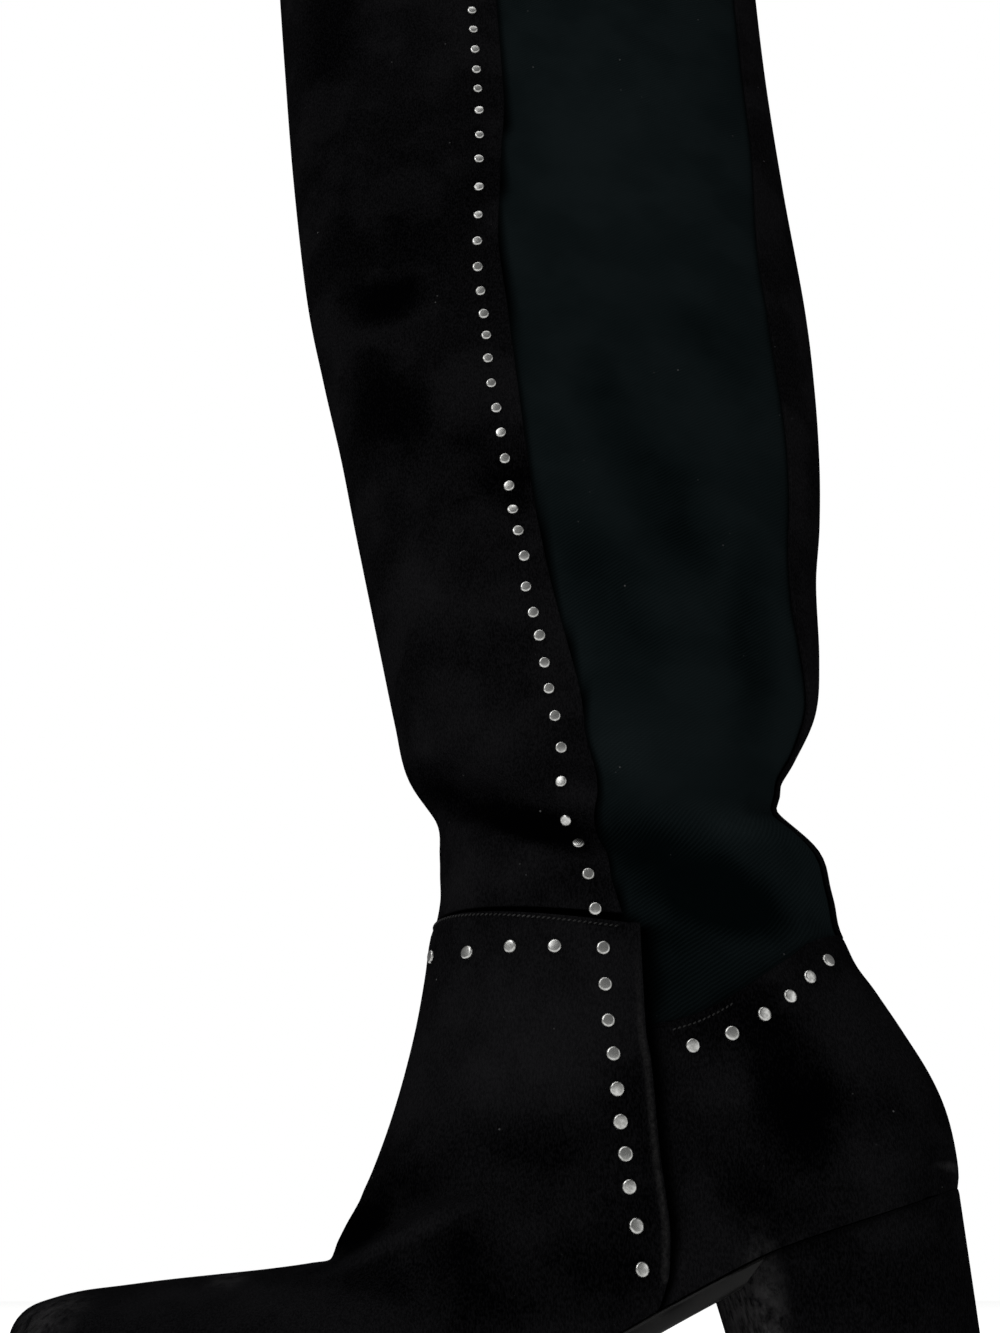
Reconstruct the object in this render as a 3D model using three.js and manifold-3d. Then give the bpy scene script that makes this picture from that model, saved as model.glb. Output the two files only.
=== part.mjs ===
// A pull-on knee-high boot: suede panels over a stretch knit leg, with a covered block heel.
// Millimetres. The toe points to -X, the outer side of this left boot to -Y, and it stands on z = 0.
import * as THREE from "three";
import { mergeVertices } from "three/addons/utils/BufferGeometryUtils.js";
import Module from "manifold-3d";

const wasm = await Module();
wasm.setup();

// Foot and leg
const footLength = 231.8; // toe tip to the back of the heel, without the panels
const ballWidth = 84;
const toeLength = 38; // the stretch over which the plan outline closes round the toe
const toeShift = 4; // how far the toe tip lies to the inner side
const instepHeight = 118; // the top line of the vamp above the floor
const shaftHeight = 500; // the collar above the floor
const calfDepth = 177; // front to back at the collar
const ankleDepth = 92.3; // front to back at the ankle fold
const ankleSet = 38.3; // how far the ankle's back lies in front of the heel's back
const legWidth = 62; // side to side, at the leg's fullest

// Walls and gaps
const wall = 1.6; // the knit shell
const panel = 1.2; // a suede panel on it
const gap = 0.4; // between pieces with curved faces
const seam = 0.45; // between the edges of two panels

// Sole and heel
const seatHeight = 57.5; // top of the heel seat at its back
const soleThickness = 4.5;
const toeSpring = 8; // the sole's underside at the toe tip
const soleReach = 2.6; // how far the sole's edge stands outside the upper's own outline
const soleEndSet = 55.5; // where the sole ends, in front of the heel's back
const breastSet = 63.4; // the plane of the heel's breast at the seat's height
const breastSlant = 11.5; // how far the breast leans back at the floor
const heelWidth = 57;
const heelOut = 1.4; // the heel's back edge at the floor, behind the upper's own outline
const heelCorner = 8; // radius of the heel's two front corners
const tipHeight = 5; // the top piece under the heel
const insoleThickness = 2;
const lastingMargin = 10; // the upper's turned-in edge round the opening underneath

const heelBack = footLength / 2;
const toeTip = heelBack - footLength;

function table(columns, rows) {
  return rows.map((row) => Object.fromEntries(columns.map((name, i) => [name, row[i]])));
}

function mix(a, b, t) {
  return a + (b - a) * t;
}

function clamp01(t) {
  return Math.min(1, Math.max(0, t));
}

// A column of a table at a place along another column, straight between the rows.
function lookUp(rows, key, place, column) {
  const falling = rows[0][key] > rows[rows.length - 1][key];
  const ahead = rows.findIndex((row) => (falling ? row[key] < place : row[key] > place));
  const i = ahead < 0 ? rows.length - 1 : Math.max(1, ahead);
  const [a, b] = [rows[i - 1], rows[i]];
  return mix(a[column], b[column], clamp01((place - a[key]) / (b[key] - a[key])));
}

// The line where the upper meets the sole and the heel.
// along: share of the foot's length from the heel's back
const soleLine = table(
  ["along", "seat", "spring"],
  [
    [-0.1, 1.13, 0],
    [0.0, 0.995, 0],
    [0.11, 0.858, 0],
    [0.215, 0.72, 0],
    [0.245, 0.675, 0],
    [0.3, 0.567, 0],
    [0.35, 0.465, 0],
    [0.39, 0.38, 0],
    [0.435, 0.285, 0],
    [0.48, 0.195, 0],
    [0.53, 0.11, 0],
    [0.58, 0.048, 0],
    [0.635, 0.01, 0],
    [0.685, 0, 0],
    [0.82, 0, 0],
    [0.885, 0, 0.1],
    [0.935, 0, 0.36],
    [0.975, 0, 0.72],
    [1.0, 0, 1],
    [1.06, 0, 1.9],
  ],
).map((row) => ({
  x: heelBack - row.along * footLength,
  z: soleThickness + row.seat * (seatHeight - soleThickness) + row.spring * toeSpring,
}));

function soleTop(x) {
  return lookUp(soleLine, "x", x, "z");
}

// Half widths of the foot at the sole, as shares of the ball's width.
const planLine = table(
  ["along", "outer", "inner"],
  [
    [0.0, 0.338, 0.338],
    [0.1, 0.341, 0.341],
    [0.2, 0.343, 0.338],
    [0.3, 0.343, 0.318],
    [0.4, 0.373, 0.332],
    [0.53, 0.445, 0.415],
    [0.64, 0.494, 0.482],
    [0.72, 0.509, 0.496],
    [0.81, 0.494, 0.482],
    [0.9, 0.452, 0.452],
    [1.0, 0.4, 0.42],
  ],
);

// The half width of the plan outline, pushed outwards by reach.
function planHalf(x, side, reach) {
  const along = (heelBack - x) / footLength;
  const share = lookUp(planLine, "along", along, side < 0 ? "outer" : "inner");
  const toToe = clamp01((toeTip + toeLength - x) / (toeLength + reach));
  const close = Math.pow(1 - Math.pow(toToe, 2.2), 1 / 2.2);
  return close * (share * ballWidth + reach);
}

function planShift(x) {
  const t = clamp01((toeTip + 0.4 * footLength - x) / (0.4 * footLength));
  return toeShift * t * t;
}

// Leg sections, collar to ankle. Rises are shares of the shaft above the vamp's top line,
// depth is a share of what the calf has more than the ankle, set is a share of ankleSet, half of
// legWidth, and hold is the part of the section that closes towards the back.
const legRows = table(
  ["frontRise", "backRise", "depth", "set", "half", "hold"],
  [
    [1.0, 1.0, 1.0, 0.57, 0.484, 0.6],
    [0.83, 0.83, 0.93, 0.55, 0.476, 0.6],
    [0.686, 0.686, 0.88, 0.49, 0.484, 0.6],
    [0.555, 0.555, 0.82, 0.41, 0.488, 0.6],
    [0.471, 0.471, 0.745, 0.41, 0.492, 0.6],
    [0.398, 0.398, 0.655, 0.43, 0.5, 0.6],
    [0.338, 0.338, 0.57, 0.49, 0.506, 0.6],
    [0.285, 0.285, 0.48, 0.555, 0.506, 0.6],
    [0.217, 0.22, 0.4, 0.6, 0.5, 0.6],
    [0.165, 0.177, 0.31, 0.685, 0.49, 0.6],
    [0.125, 0.142, 0.19, 0.85, 0.48, 0.6],
    [0.09, 0.122, 0.03, 0.97, 0.468, 0.6],
    [0.063, 0.109, 0.0, 1.0, 0.463, 0.6],
    [0.048, 0.092, 0.025, 0.94, 0.478, 0.6],
    [0.03, 0.062, 0.1, 0.77, 0.505, 0.58],
    [0.012, 0.03, 0.13, 0.74, 0.515, 0.57],
  ],
).map((row) => {
  const depth = mix(ankleDepth, calfDepth, row.depth);
  const backX = heelBack - row.set * ankleSet;
  return {
    frontX: backX - depth,
    frontZ: mix(instepHeight, shaftHeight, row.frontRise),
    backX,
    backZ: mix(instepHeight, shaftHeight, row.backRise),
    half: row.half * legWidth,
    hold: row.hold * depth,
    round: 1 - row.hold,
    bend: 2,
  };
});

// Foot sections. front and back are shares of the foot's length, rises are shares of the instep's
// height, and an end without a rise lies just under the sole line, where it is trimmed away.
const trimDepth = 3;
const footRows = table(
  ["front", "frontRise", "back", "backRise", "half", "hold", "round", "bend"],
  [
    [0.577, 1.0, 0.103, 0.958, 0.52, 0.26, 0.44, 2],
    [0.586, 0.915, 0.075, 0.877, 0.52, 0.26, 0.43, 2.05],
    [0.594, 0.805, 0.047, 0.792, 0.516, 0.25, 0.42, 2.1],
    [0.606, 0.695, 0.022, 0.7, 0.508, 0.23, 0.41, 2.1],
    [0.62, 0.595, 0.009, 0.62, 0.5, 0.21, 0.4, 2.15],
    [0.635, 0.51, 0.003, 0.53, 0.49, 0.19, 0.4, 2.2],
    [0.645, 0.465, 0.001, 0.48, 0.48, 0.17, 0.42, 2.2],
    [0.649, 0.446, 0.026, null, 0, 0, 0.43, 2.2],
    [0.654, 0.428, 0.064, null, 0, 0, 0.45, 2.2],
    [0.663, 0.398, 0.157, null, 0, 0, 0.5, 2.2],
    [0.671, 0.367, 0.26, null, 0, 0, 0.57, 2.2],
    [0.679, 0.327, 0.37, null, 0, 0, 0.65, 2.2],
    [0.702, 0.317, 0.481, null, 0, 0, 0.72, 2.25],
    [0.745, 0.306, 0.583, null, 0, 0, 0.78, 2.3],
    [0.796, 0.296, 0.685, null, 0, 0, 0.82, 2.3],
    [0.847, 0.286, 0.779, null, 0, 0, 0.82, 2.3],
    [0.894, 0.277, 0.855, null, 0, 0, 0.8, 2.3],
    [0.932, 0.27, 0.915, null, 0, 0, 0.75, 2.3],
    [0.96, 0.256, 0.95, null, 0, 0, 0.7, 2.2],
    [0.981, 0.237, 0.973, null, 0, 0, 0.65, 2.1],
    [0.995, 0.203, 0.987, null, 0, 0, 0.6, 2],
    [0.9985, 0.155, 0.996, null, 0, 0, 0.6, 2],
    [1.0, null, 1.0, null, 0, 0, 0.6, 2],
  ],
).map((row) => {
  const heightAt = (x, rise) => (rise === null ? soleTop(x) - trimDepth : rise * instepHeight);
  const frontX = heelBack - row.front * footLength;
  const backX = heelBack - row.back * footLength;
  return {
    frontX,
    frontZ: heightAt(frontX, row.frontRise),
    backX,
    backZ: heightAt(backX, row.backRise),
    onSole: row.backRise === null,
    half: row.half * legWidth,
    hold: row.hold * footLength,
    round: row.round,
    bend: row.bend,
  };
});

const sections = [...legRows, ...footRows];
const vampTop = legRows.length; // the section at the vamp's top line
const tipRow = sections.length - 1;
const backRows = sections.slice(0, vampTop + 7); // the sections that end at the boot's back

// Outward directions of the outline at both ends of each section.
sections.forEach((row, i) => {
  const before = sections[Math.max(0, i - 1)];
  const after = sections[Math.min(tipRow, i + 1)];
  const front = new THREE.Vector2(before.frontZ - after.frontZ, after.frontX - before.frontX);
  front.normalize().negate();
  row.frontOut = i === tipRow ? new THREE.Vector2(-1, 0) : front;
  const back = new THREE.Vector2(before.backZ - after.backZ, after.backX - before.backX);
  row.backOut = back.normalize();
  const lean = clamp01((toeTip + toeLength - row.backX) / toeLength);
  if (row.onSole) row.backOut = new THREE.Vector2(-lean, lean - 1).normalize();
  if (i === tipRow) row.backOut = new THREE.Vector2(-1, 0);
});

// One end of a section at any place between the rows, pushed outwards by reach.
function sectionEnd(place, end, reach) {
  const i = Math.min(tipRow - 1, Math.max(0, Math.floor(place)));
  const [a, b, t] = [sections[i], sections[i + 1], place - i];
  const out = a[end + "Out"].clone().lerp(b[end + "Out"], clamp01(t));
  return new THREE.Vector2(
    mix(a[end + "X"], b[end + "X"], t) + out.x * reach,
    mix(a[end + "Z"], b[end + "Z"], t) + out.y * reach,
  );
}

// A closing curve: 0 at the edge and 1 from the full length on.
function closing(distance, length, power) {
  if (distance >= length) return 1;
  return Math.pow(1 - Math.pow(1 - Math.max(0, distance) / length, power), 1 / power);
}

// A point of the upper's surface. place runs down the sections, and turn runs round one of them,
// from 0 at the front to 1 at the inner side's back and -1 at the outer side's.
function skin(place, turn, reach) {
  const side = turn < 0 ? -1 : 1;
  const share = (1 - Math.cos(Math.PI * Math.abs(turn))) / 2;
  const spot = sectionEnd(place, "front", reach).lerp(sectionEnd(place, "back", reach), share);
  const i = Math.min(tipRow - 1, Math.max(0, Math.floor(place)));
  const t = clamp01(place - i);
  const round = mix(sections[i].round, sections[i + 1].round, t);
  const bend = mix(sections[i].bend, sections[i + 1].bend, t);
  const [x, z] = [spot.x, spot.y];
  const backX = lookUp(backRows, "backZ", z, "backX");
  const hold = lookUp(backRows, "backZ", z, "hold");
  const half = lookUp(backRows, "backZ", z, "half") + reach;
  const feather = soleTop(x) + 0.07 * instepHeight;
  const rise = clamp01((z - feather) / Math.max(1, instepHeight - feather));
  const blend = rise * rise * (3 - 2 * rise);
  const width = mix(planHalf(x, side, reach), half, blend);
  const y = closing(share, round, bend) * closing(backX + reach - x, hold, 2.1) * width;
  return new THREE.Vector3(x, side * y + planShift(x), z);
}

// The turn at which a section has a given share of its depth.
function turnAt(share) {
  return Math.acos(1 - 2 * clamp01(share)) / Math.PI;
}

// A solid from points and triangles: like points merged, flat triangles dropped, faces outwards.
function solidFrom(points, triangles) {
  const geometry = new THREE.BufferGeometry();
  geometry.setAttribute(
    "position",
    new THREE.Float32BufferAttribute(points.flatMap((p) => [p.x, p.y, p.z]), 3),
  );
  geometry.setIndex(triangles.flat());
  return solidOf(geometry);
}

function solidOf(geometry) {
  geometry.deleteAttribute("normal");
  geometry.deleteAttribute("uv");
  const merged = mergeVertices(geometry, 1e-4);
  const index = merged.index.array;
  const kept = [];
  for (let i = 0; i < index.length; i += 3) {
    const [a, b, c] = [index[i], index[i + 1], index[i + 2]];
    if (a !== b && b !== c && a !== c) kept.push(a, b, c);
  }
  const make = (triangles) =>
    new wasm.Manifold(
      new wasm.Mesh({
        numProp: 3,
        vertProperties: new Float32Array(merged.attributes.position.array),
        triVerts: new Uint32Array(triangles),
      }),
    );
  const made = make(kept);
  return made.volume() > 0 ? made : make(kept.reverse());
}

// Two triangles for each cell of a grid of point numbers.
function gridFaces(grid, closed) {
  const faces = [];
  for (let i = 0; i + 1 < grid.length; i++) {
    const across = closed ? grid[i].length : grid[i].length - 1;
    for (let j = 0; j < across; j++) {
      const k = (j + 1) % grid[i].length;
      const [a, b, c, d] = [grid[i][j], grid[i][k], grid[i + 1][k], grid[i + 1][j]];
      faces.push([a, b, c], [a, c, d]);
    }
  }
  return faces;
}

function numbered(rows, points) {
  return rows.map((row) => row.map((point) => points.push(point) - 1));
}

// A closed form of the whole last, from a first place down to the toe tip.
function lastForm(firstPlace, steps, reach) {
  const places = [firstPlace];
  for (let place = 1; place <= tipRow; place++) places.push(place);
  const turns = [];
  for (let j = -steps; j <= steps; j++) turns.push(-j / steps);
  const rings = places.map((place) => turns.map((turn) => skin(place, turn, reach)));
  const points = [];
  const grid = numbered(rings, points);
  const faces = gridFaces(grid, true);
  const centre = rings[0].reduce((sum, p) => sum.add(p), new THREE.Vector3());
  const middle = points.push(centre.divideScalar(turns.length)) - 1;
  grid[0].forEach((a, j) => faces.push([middle, grid[0][(j + 1) % turns.length], a]));
  return solidFrom(points, faces);
}

// A block round the last's surface with a panel's outline: rows of turns, closed round the rim.
function panelBlock(places, turnsAt) {
  const layer = (reach) => places.map((v) => turnsAt(v).map((turn) => skin(v, turn, reach)));
  const points = [];
  const outer = numbered(layer(5 * panel), points);
  const inner = numbered(layer(-2 * panel), points);
  const faces = [...gridFaces(outer, false), ...gridFaces(inner, false).map((f) => f.reverse())];
  const last = outer.length - 1;
  const side = outer[0].length - 1;
  const rim = (a, b, c, d) => faces.push([a, c, b], [b, c, d]);
  for (let j = 0; j < side; j++) {
    rim(outer[0][j], outer[0][j + 1], inner[0][j], inner[0][j + 1]);
    rim(outer[last][j + 1], outer[last][j], inner[last][j + 1], inner[last][j]);
  }
  for (let i = 0; i < last; i++) {
    rim(outer[i + 1][0], outer[i][0], inner[i + 1][0], inner[i][0]);
    rim(outer[i][side], outer[i + 1][side], inner[i][side], inner[i + 1][side]);
  }
  return solidFrom(points, faces);
}

// A prism across the boot from an outline in X and Z.
function crossPrism(outline) {
  const shape = new THREE.Shape(outline.map(([x, z]) => new THREE.Vector2(x, z)));
  const depth = 3 * ballWidth;
  const geometry = new THREE.ExtrudeGeometry(shape, { depth, bevelEnabled: false });
  geometry.rotateX(Math.PI / 2);
  geometry.translate(0, depth / 2, 0);
  return solidOf(geometry);
}

// All that lies under the sole line raised by a height.
function underSole(height) {
  const low = -footLength;
  const line = soleLine.map(({ x, z }) => [x, z + height]);
  return crossPrism([[line[0][0], low], ...line, [line.at(-1)[0], low]]);
}

// A plate with the foot's plan outline: levels from top to bottom, each with its reach and height.
function planPlate(levels, backX, heelClose, stations) {
  const rings = levels.map(({ reach, z }) => {
    const outline = [];
    const tip = toeTip - reach;
    const end = backX + (heelClose ? reach : 0);
    for (let i = 0; i <= stations; i++) {
      const t = i / stations;
      const even = heelClose ? (1 - Math.cos(Math.PI * t)) / 2 : 1 - Math.cos((Math.PI / 2) * t);
      const x = mix(tip, end, even);
      const close = heelClose ? closing(end - x, 0.17 * footLength, 2.1) : 1;
      const half = (side) => side * close * planHalf(x, side, reach) + planShift(x);
      outline.push([x, half(-1), half(1), z(x)]);
    }
    return outline;
  });
  const points = [];
  const grid = rings.map((outline) => {
    const outer = outline.map(([x, y, , z]) => points.push(new THREE.Vector3(x, y, z)) - 1);
    const inner = outline.map(([x, , y, z]) => points.push(new THREE.Vector3(x, y, z)) - 1);
    return [...outer, ...inner.reverse()];
  });
  const faces = gridFaces(grid, true);
  const count = stations + 1;
  const strip = (ring) => {
    for (let i = 0; i < stations; i++) {
      const [a, b] = [ring[i], ring[i + 1]];
      const [c, d] = [ring[2 * count - 1 - i], ring[2 * count - 2 - i]];
      faces.push([a, b, c], [b, d, c]);
    }
  };
  strip([...grid[0]].reverse());
  strip(grid.at(-1));
  return solidFrom(points, faces);
}

const ringSteps = 12; // points from the front to the back on one side of a section

function makeUpper() {
  const hollow = lastForm(-0.08, ringSteps - 4, -wall).subtract(underSole(gap + wall));
  const levels = [
    { reach: -lastingMargin, z: () => seatHeight + 3 * lastingMargin },
    { reach: -lastingMargin, z: () => -lastingMargin },
  ];
  const opening = planPlate(levels, heelBack, true, 16).intersect(underSole(gap + 2 * wall));
  return lastForm(0, ringSteps, 0).subtract(hollow).subtract(underSole(gap)).subtract(opening);
}

// The suede panels' rear or front edges, as shares of the section's depth from the front.
const frontEdge = table(
  ["place", "share"],
  [
    [0, 0.435],
    [1, 0.43],
    [2, 0.42],
    [3, 0.388],
    [4, 0.368],
    [5, 0.36],
    [7, 0.368],
    [8, 0.382],
    [9, 0.41],
    [10, 0.438],
    [11, 0.44],
    [12, 0.427],
    [13, 0.41],
    [14, 0.388],
    [15, 0.41],
    [16, 0.432],
    [18, 0.422],
    [19, 0.427],
    [20, 0.44],
    [21, 0.4535],
    [22, 0.464],
    [23, 0.488],
    [24, 0.525],
    [25, 0.631],
    [26, 0.794],
    [26.5, 0.9],
    [26.75, 0.945],
    [27, 0.955],
    [27.4, 1],
    [tipRow, 1],
  ],
);
const stripEdge = table(
  ["place", "share"],
  [
    [0, 0.93],
    [2, 0.92],
    [3, 0.897],
    [5, 0.908],
    [7, 0.918],
    [9, 0.935],
    [11, 0.93],
    [14, 0.925],
    [16, 0.93],
  ],
);
const counterEdge = table(
  ["place", "share"],
  [
    [15.68, 0.96],
    [16, 0.86],
    [16.5, 0.785],
    [17, 0.71],
    [17.5, 0.63],
    [18, 0.535],
    [18.3, 0.44],
    [18.31, 0],
    [tipRow, 0],
  ],
);

function placesFrom(first, last) {
  const places = [first];
  for (let place = Math.floor(first) + 1; place < last; place++) places.push(place);
  places.push(last);
  return places;
}

// The leather of all panels: the space between two larger forms of the last.
const panelSkin = lastForm(0, ringSteps, gap + panel)
  .subtract(lastForm(-0.08, ringSteps, gap))
  .subtract(underSole(gap));

function panelOf(places, turnsAt) {
  return panelSkin.intersect(panelBlock(places, turnsAt));
}

// Turns across the front, from one rear edge round the front to the other.
function acrossFront(place, steps) {
  const edge = turnAt(lookUp(frontEdge, "place", place, "share"));
  return Array.from({ length: 2 * steps + 1 }, (_, j) => edge * (1 - j / steps));
}

// Turns round the back, from the inner side's edge to the outer side's.
function acrossBack(share, steps) {
  const edge = turnAt(share);
  const half = Array.from({ length: steps + 1 }, (_, j) => mix(edge, 1, j / steps));
  return [...half, ...half.map((turn) => -turn).reverse()];
}

// The share of depth just behind the front panels' rear edge.
function behindEdge(place) {
  const depth = sectionEnd(place, "back", 0).distanceTo(sectionEnd(place, "front", 0));
  return lookUp(frontEdge, "place", place, "share") + seam / depth;
}

function makeShaftFront() {
  return panelOf(placesFrom(-0.05, vampTop - 0.08), (v) => acrossFront(v, 5));
}

function makeVamp() {
  const bend = frontEdge.map((row) => row.place).filter((v) => v % 1 && v > vampTop);
  const places = [...placesFrom(vampTop, tipRow), ...bend].sort((a, b) => a - b);
  return panelOf(places, (v) => acrossFront(v, 6));
}

function makeBackStrip() {
  const share = (v) => lookUp(stripEdge, "place", v, "share");
  const end = counterEdge[0].place - 0.05;
  return panelOf(placesFrom(-0.05, end), (v) => acrossBack(share(v), 3));
}

function makeCounter() {
  const share = (v) => Math.max(behindEdge(v), lookUp(counterEdge, "place", v, "share"));
  const places = counterEdge.slice(0, -2).map((row) => row.place);
  return panelOf([...places, ...placesFrom(19, 26), 26.5, 26.75], (v) => acrossBack(share(v), 6));
}

function makeOutsole() {
  const edge = 0.8;
  const levels = [
    { reach: soleReach - edge, z: soleTop },
    { reach: soleReach, z: (x) => soleTop(x) - 0.3 * soleThickness },
    { reach: soleReach - edge, z: (x) => soleTop(x) - soleThickness },
  ];
  return planPlate(levels, heelBack - soleEndSet - gap, false, 30);
}

function makeInsole() {
  const floor = (x) => soleTop(x) + gap + wall + gap;
  const reach = -wall - 2.4;
  const levels = [
    { reach, z: (x) => floor(x) + insoleThickness },
    { reach: reach - 0.5, z: floor },
  ];
  return planPlate(levels, heelBack, true, 26);
}

// One ring of the heel at a height, round its back and its two front corners.
function heelRing(z) {
  const down = clamp01(1 - z / seatHeight);
  const front = heelBack - breastSet + breastSlant * down;
  const back = heelBack + heelOut * down;
  const half = heelWidth / 2;
  const ring = [];
  const corner = (side, from, to) => {
    for (let i = 0; i <= 3; i++) {
      const turn = mix(from, to, i / 3) * Math.PI;
      const x = front + heelCorner - heelCorner * Math.cos(turn);
      ring.push(new THREE.Vector3(x, side * (half - heelCorner + heelCorner * Math.sin(turn)), z));
    }
  };
  corner(-1, 0, 0.5);
  const curve = 0.62 * (back - front);
  for (let i = 1; i < 12; i++) {
    const turn = (i / 12) * Math.PI;
    const x = back - curve + curve * Math.pow(Math.sin(turn), 2 / 2.2);
    const y = -half * Math.sign(Math.cos(turn)) * Math.pow(Math.abs(Math.cos(turn)), 2 / 2.2);
    ring.push(new THREE.Vector3(x, y, z));
  }
  corner(1, 0.5, 0);
  return ring;
}

function heelForm(heights) {
  const points = [];
  const grid = numbered(heights.map(heelRing), points);
  const faces = gridFaces(grid, true);
  const count = grid[0].length;
  const cap = (ring) => {
    for (let i = 0; i + 1 < count / 2; i++) {
      const [a, b, c, d] = [ring[i], ring[i + 1], ring[count - 1 - i], ring[count - 2 - i]];
      faces.push([a, c, b], [b, c, d]);
    }
  };
  cap(grid[0]);
  cap([...grid.at(-1)].reverse());
  return solidFrom(points, faces);
}

function makeHeelBlock() {
  const form = heelForm([tipHeight + gap, seatHeight / 2, 1.3 * seatHeight]);
  const soleEnd = heelBack - soleEndSet;
  const line = soleLine.map(({ x, z }) => [x, z]).filter(([x]) => x > soleEnd);
  const under = (x) => soleTop(x) - soleThickness - gap;
  const high = 2 * seatHeight;
  const ahead = soleEnd - 0.1 * footLength;
  return form.subtract(
    crossPrism([
      [line[0][0], high],
      ...line,
      [soleEnd, soleTop(soleEnd)],
      [soleEnd, under(soleEnd)],
      [ahead, under(ahead)],
      [ahead, high],
    ]),
  );
}

function makeTopPiece() {
  return heelForm([0, tipHeight]);
}

const boot = new THREE.Group();

function addPiece(name, solid, colour, roughness) {
  const { vertProperties, triVerts } = solid.getMesh();
  const geometry = new THREE.BufferGeometry();
  geometry.setAttribute("position", new THREE.BufferAttribute(vertProperties, 3));
  geometry.setIndex(new THREE.BufferAttribute(triVerts, 1));
  geometry.computeVertexNormals();
  const material = new THREE.MeshStandardMaterial({ color: colour, roughness, metalness: 0 });
  const mesh = new THREE.Mesh(geometry, material);
  mesh.name = name;
  boot.add(mesh);
}

const suede = 0x0c0c0d;
const knit = 0x10191a;
const rubber = 0x171614;

addPiece("upper", makeUpper(), knit, 0.9);
addPiece("shaft_front", makeShaftFront(), suede, 0.95);
addPiece("vamp", makeVamp(), suede, 0.95);
addPiece("back_strip", makeBackStrip(), suede, 0.95);
addPiece("counter", makeCounter(), suede, 0.95);
addPiece("insole", makeInsole(), 0x2a2724, 0.8);
addPiece("outsole", makeOutsole(), rubber, 0.5);
addPiece("heel_block", makeHeelBlock(), suede, 0.95);
addPiece("top_piece", makeTopPiece(), rubber, 0.6);

// The origin is under the middle of the whole boot.
const box = new THREE.Box3().setFromObject(boot);
boot.position.x = -(box.min.x + box.max.x) / 2;
boot.position.y = -(box.min.y + box.max.y) / 2;

export default boot;
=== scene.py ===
# A left knee-high pull-on boot: black suede panels over a stretch knit leg, metal studs along the
# panel edges, a thin sole and a suede covered block heel. Sizes in the tables are millimetres.
import bpy
import math
import numpy as np
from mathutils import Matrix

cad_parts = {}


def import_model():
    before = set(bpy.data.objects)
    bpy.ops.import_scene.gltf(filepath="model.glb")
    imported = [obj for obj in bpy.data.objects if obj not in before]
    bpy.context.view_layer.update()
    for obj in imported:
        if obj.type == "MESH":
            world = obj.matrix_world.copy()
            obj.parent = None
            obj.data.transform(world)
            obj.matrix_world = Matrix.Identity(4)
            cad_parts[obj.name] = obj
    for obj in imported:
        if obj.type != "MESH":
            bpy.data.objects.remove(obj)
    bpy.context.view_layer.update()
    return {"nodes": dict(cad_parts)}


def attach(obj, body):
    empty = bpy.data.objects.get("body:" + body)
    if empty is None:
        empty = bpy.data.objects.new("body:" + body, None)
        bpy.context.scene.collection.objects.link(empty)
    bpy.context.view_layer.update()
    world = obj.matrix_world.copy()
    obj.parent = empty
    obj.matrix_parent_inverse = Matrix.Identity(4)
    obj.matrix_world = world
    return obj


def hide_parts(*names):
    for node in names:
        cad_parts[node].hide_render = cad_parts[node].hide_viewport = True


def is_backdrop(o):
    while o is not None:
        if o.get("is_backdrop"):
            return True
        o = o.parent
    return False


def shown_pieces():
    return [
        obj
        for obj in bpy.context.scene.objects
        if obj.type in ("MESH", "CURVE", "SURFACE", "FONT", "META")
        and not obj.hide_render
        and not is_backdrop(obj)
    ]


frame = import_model()
mm = 0.001

# camera, floor and light
view = {
    "place": (-19.4, -373.0, 33.0),
    "azimuth": 3.0,
    "pitch": 24.0,
    "lens": 37.81,  # for a 36 mm long side
}
studio = {
    "backdrop": 1.0,  # what the camera sees round the boot
    "ambient": 0.24,
    "floor": (0.9, 0.9, 0.89),
    "floorGlow": 0.72,  # what keeps the sweep as pale as the backdrop
    "floorWidth": 9.0,
}
# each softbox: place, the point it looks at, width, height, power
softboxes = {
    "keyLeft": ((-1.1, -1.0, 1.2), (0.0, 0.0, 0.2), 0.9, 1.1, 19.0),
    "fillRight": ((1.3, -1.0, 0.7), (0.0, 0.0, 0.2), 0.8, 1.2, 5.0),
    "top": ((-0.2, -0.1, 1.9), (0.0, 0.0, 0.2), 1.4, 1.0, 15.0),
}


def deselect():
    if bpy.context.object and bpy.context.object.mode != "OBJECT":
        bpy.ops.object.mode_set(mode="OBJECT")
    bpy.ops.object.select_all(action="DESELECT")


def only(piece):
    deselect()
    piece.select_set(True)
    bpy.context.view_layer.objects.active = piece


def setInputs(tree, node, inputs):
    # by label or number: an output to link, or a value to set
    for label, value in inputs.items():
        socket = node.inputs[label]
        if isinstance(value, bpy.types.NodeSocket):
            tree.links.new(value, socket)
        elif socket.type == "RGBA":
            socket.default_value = (*value, 1)
        else:
            socket.default_value = value


def addNode(tree, kind, inputs, **values):
    node = tree.nodes.new("ShaderNode" + kind)
    for name, value in values.items():
        setattr(node, name, value)
    setInputs(tree, node, inputs)
    return node


def newMaterial(name, **values):
    material = bpy.data.materials.new(name)
    material.use_nodes = True
    tree = material.node_tree
    shader = tree.nodes["Principled BSDF"]
    setInputs(tree, shader, values)
    return material, tree, shader


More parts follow.
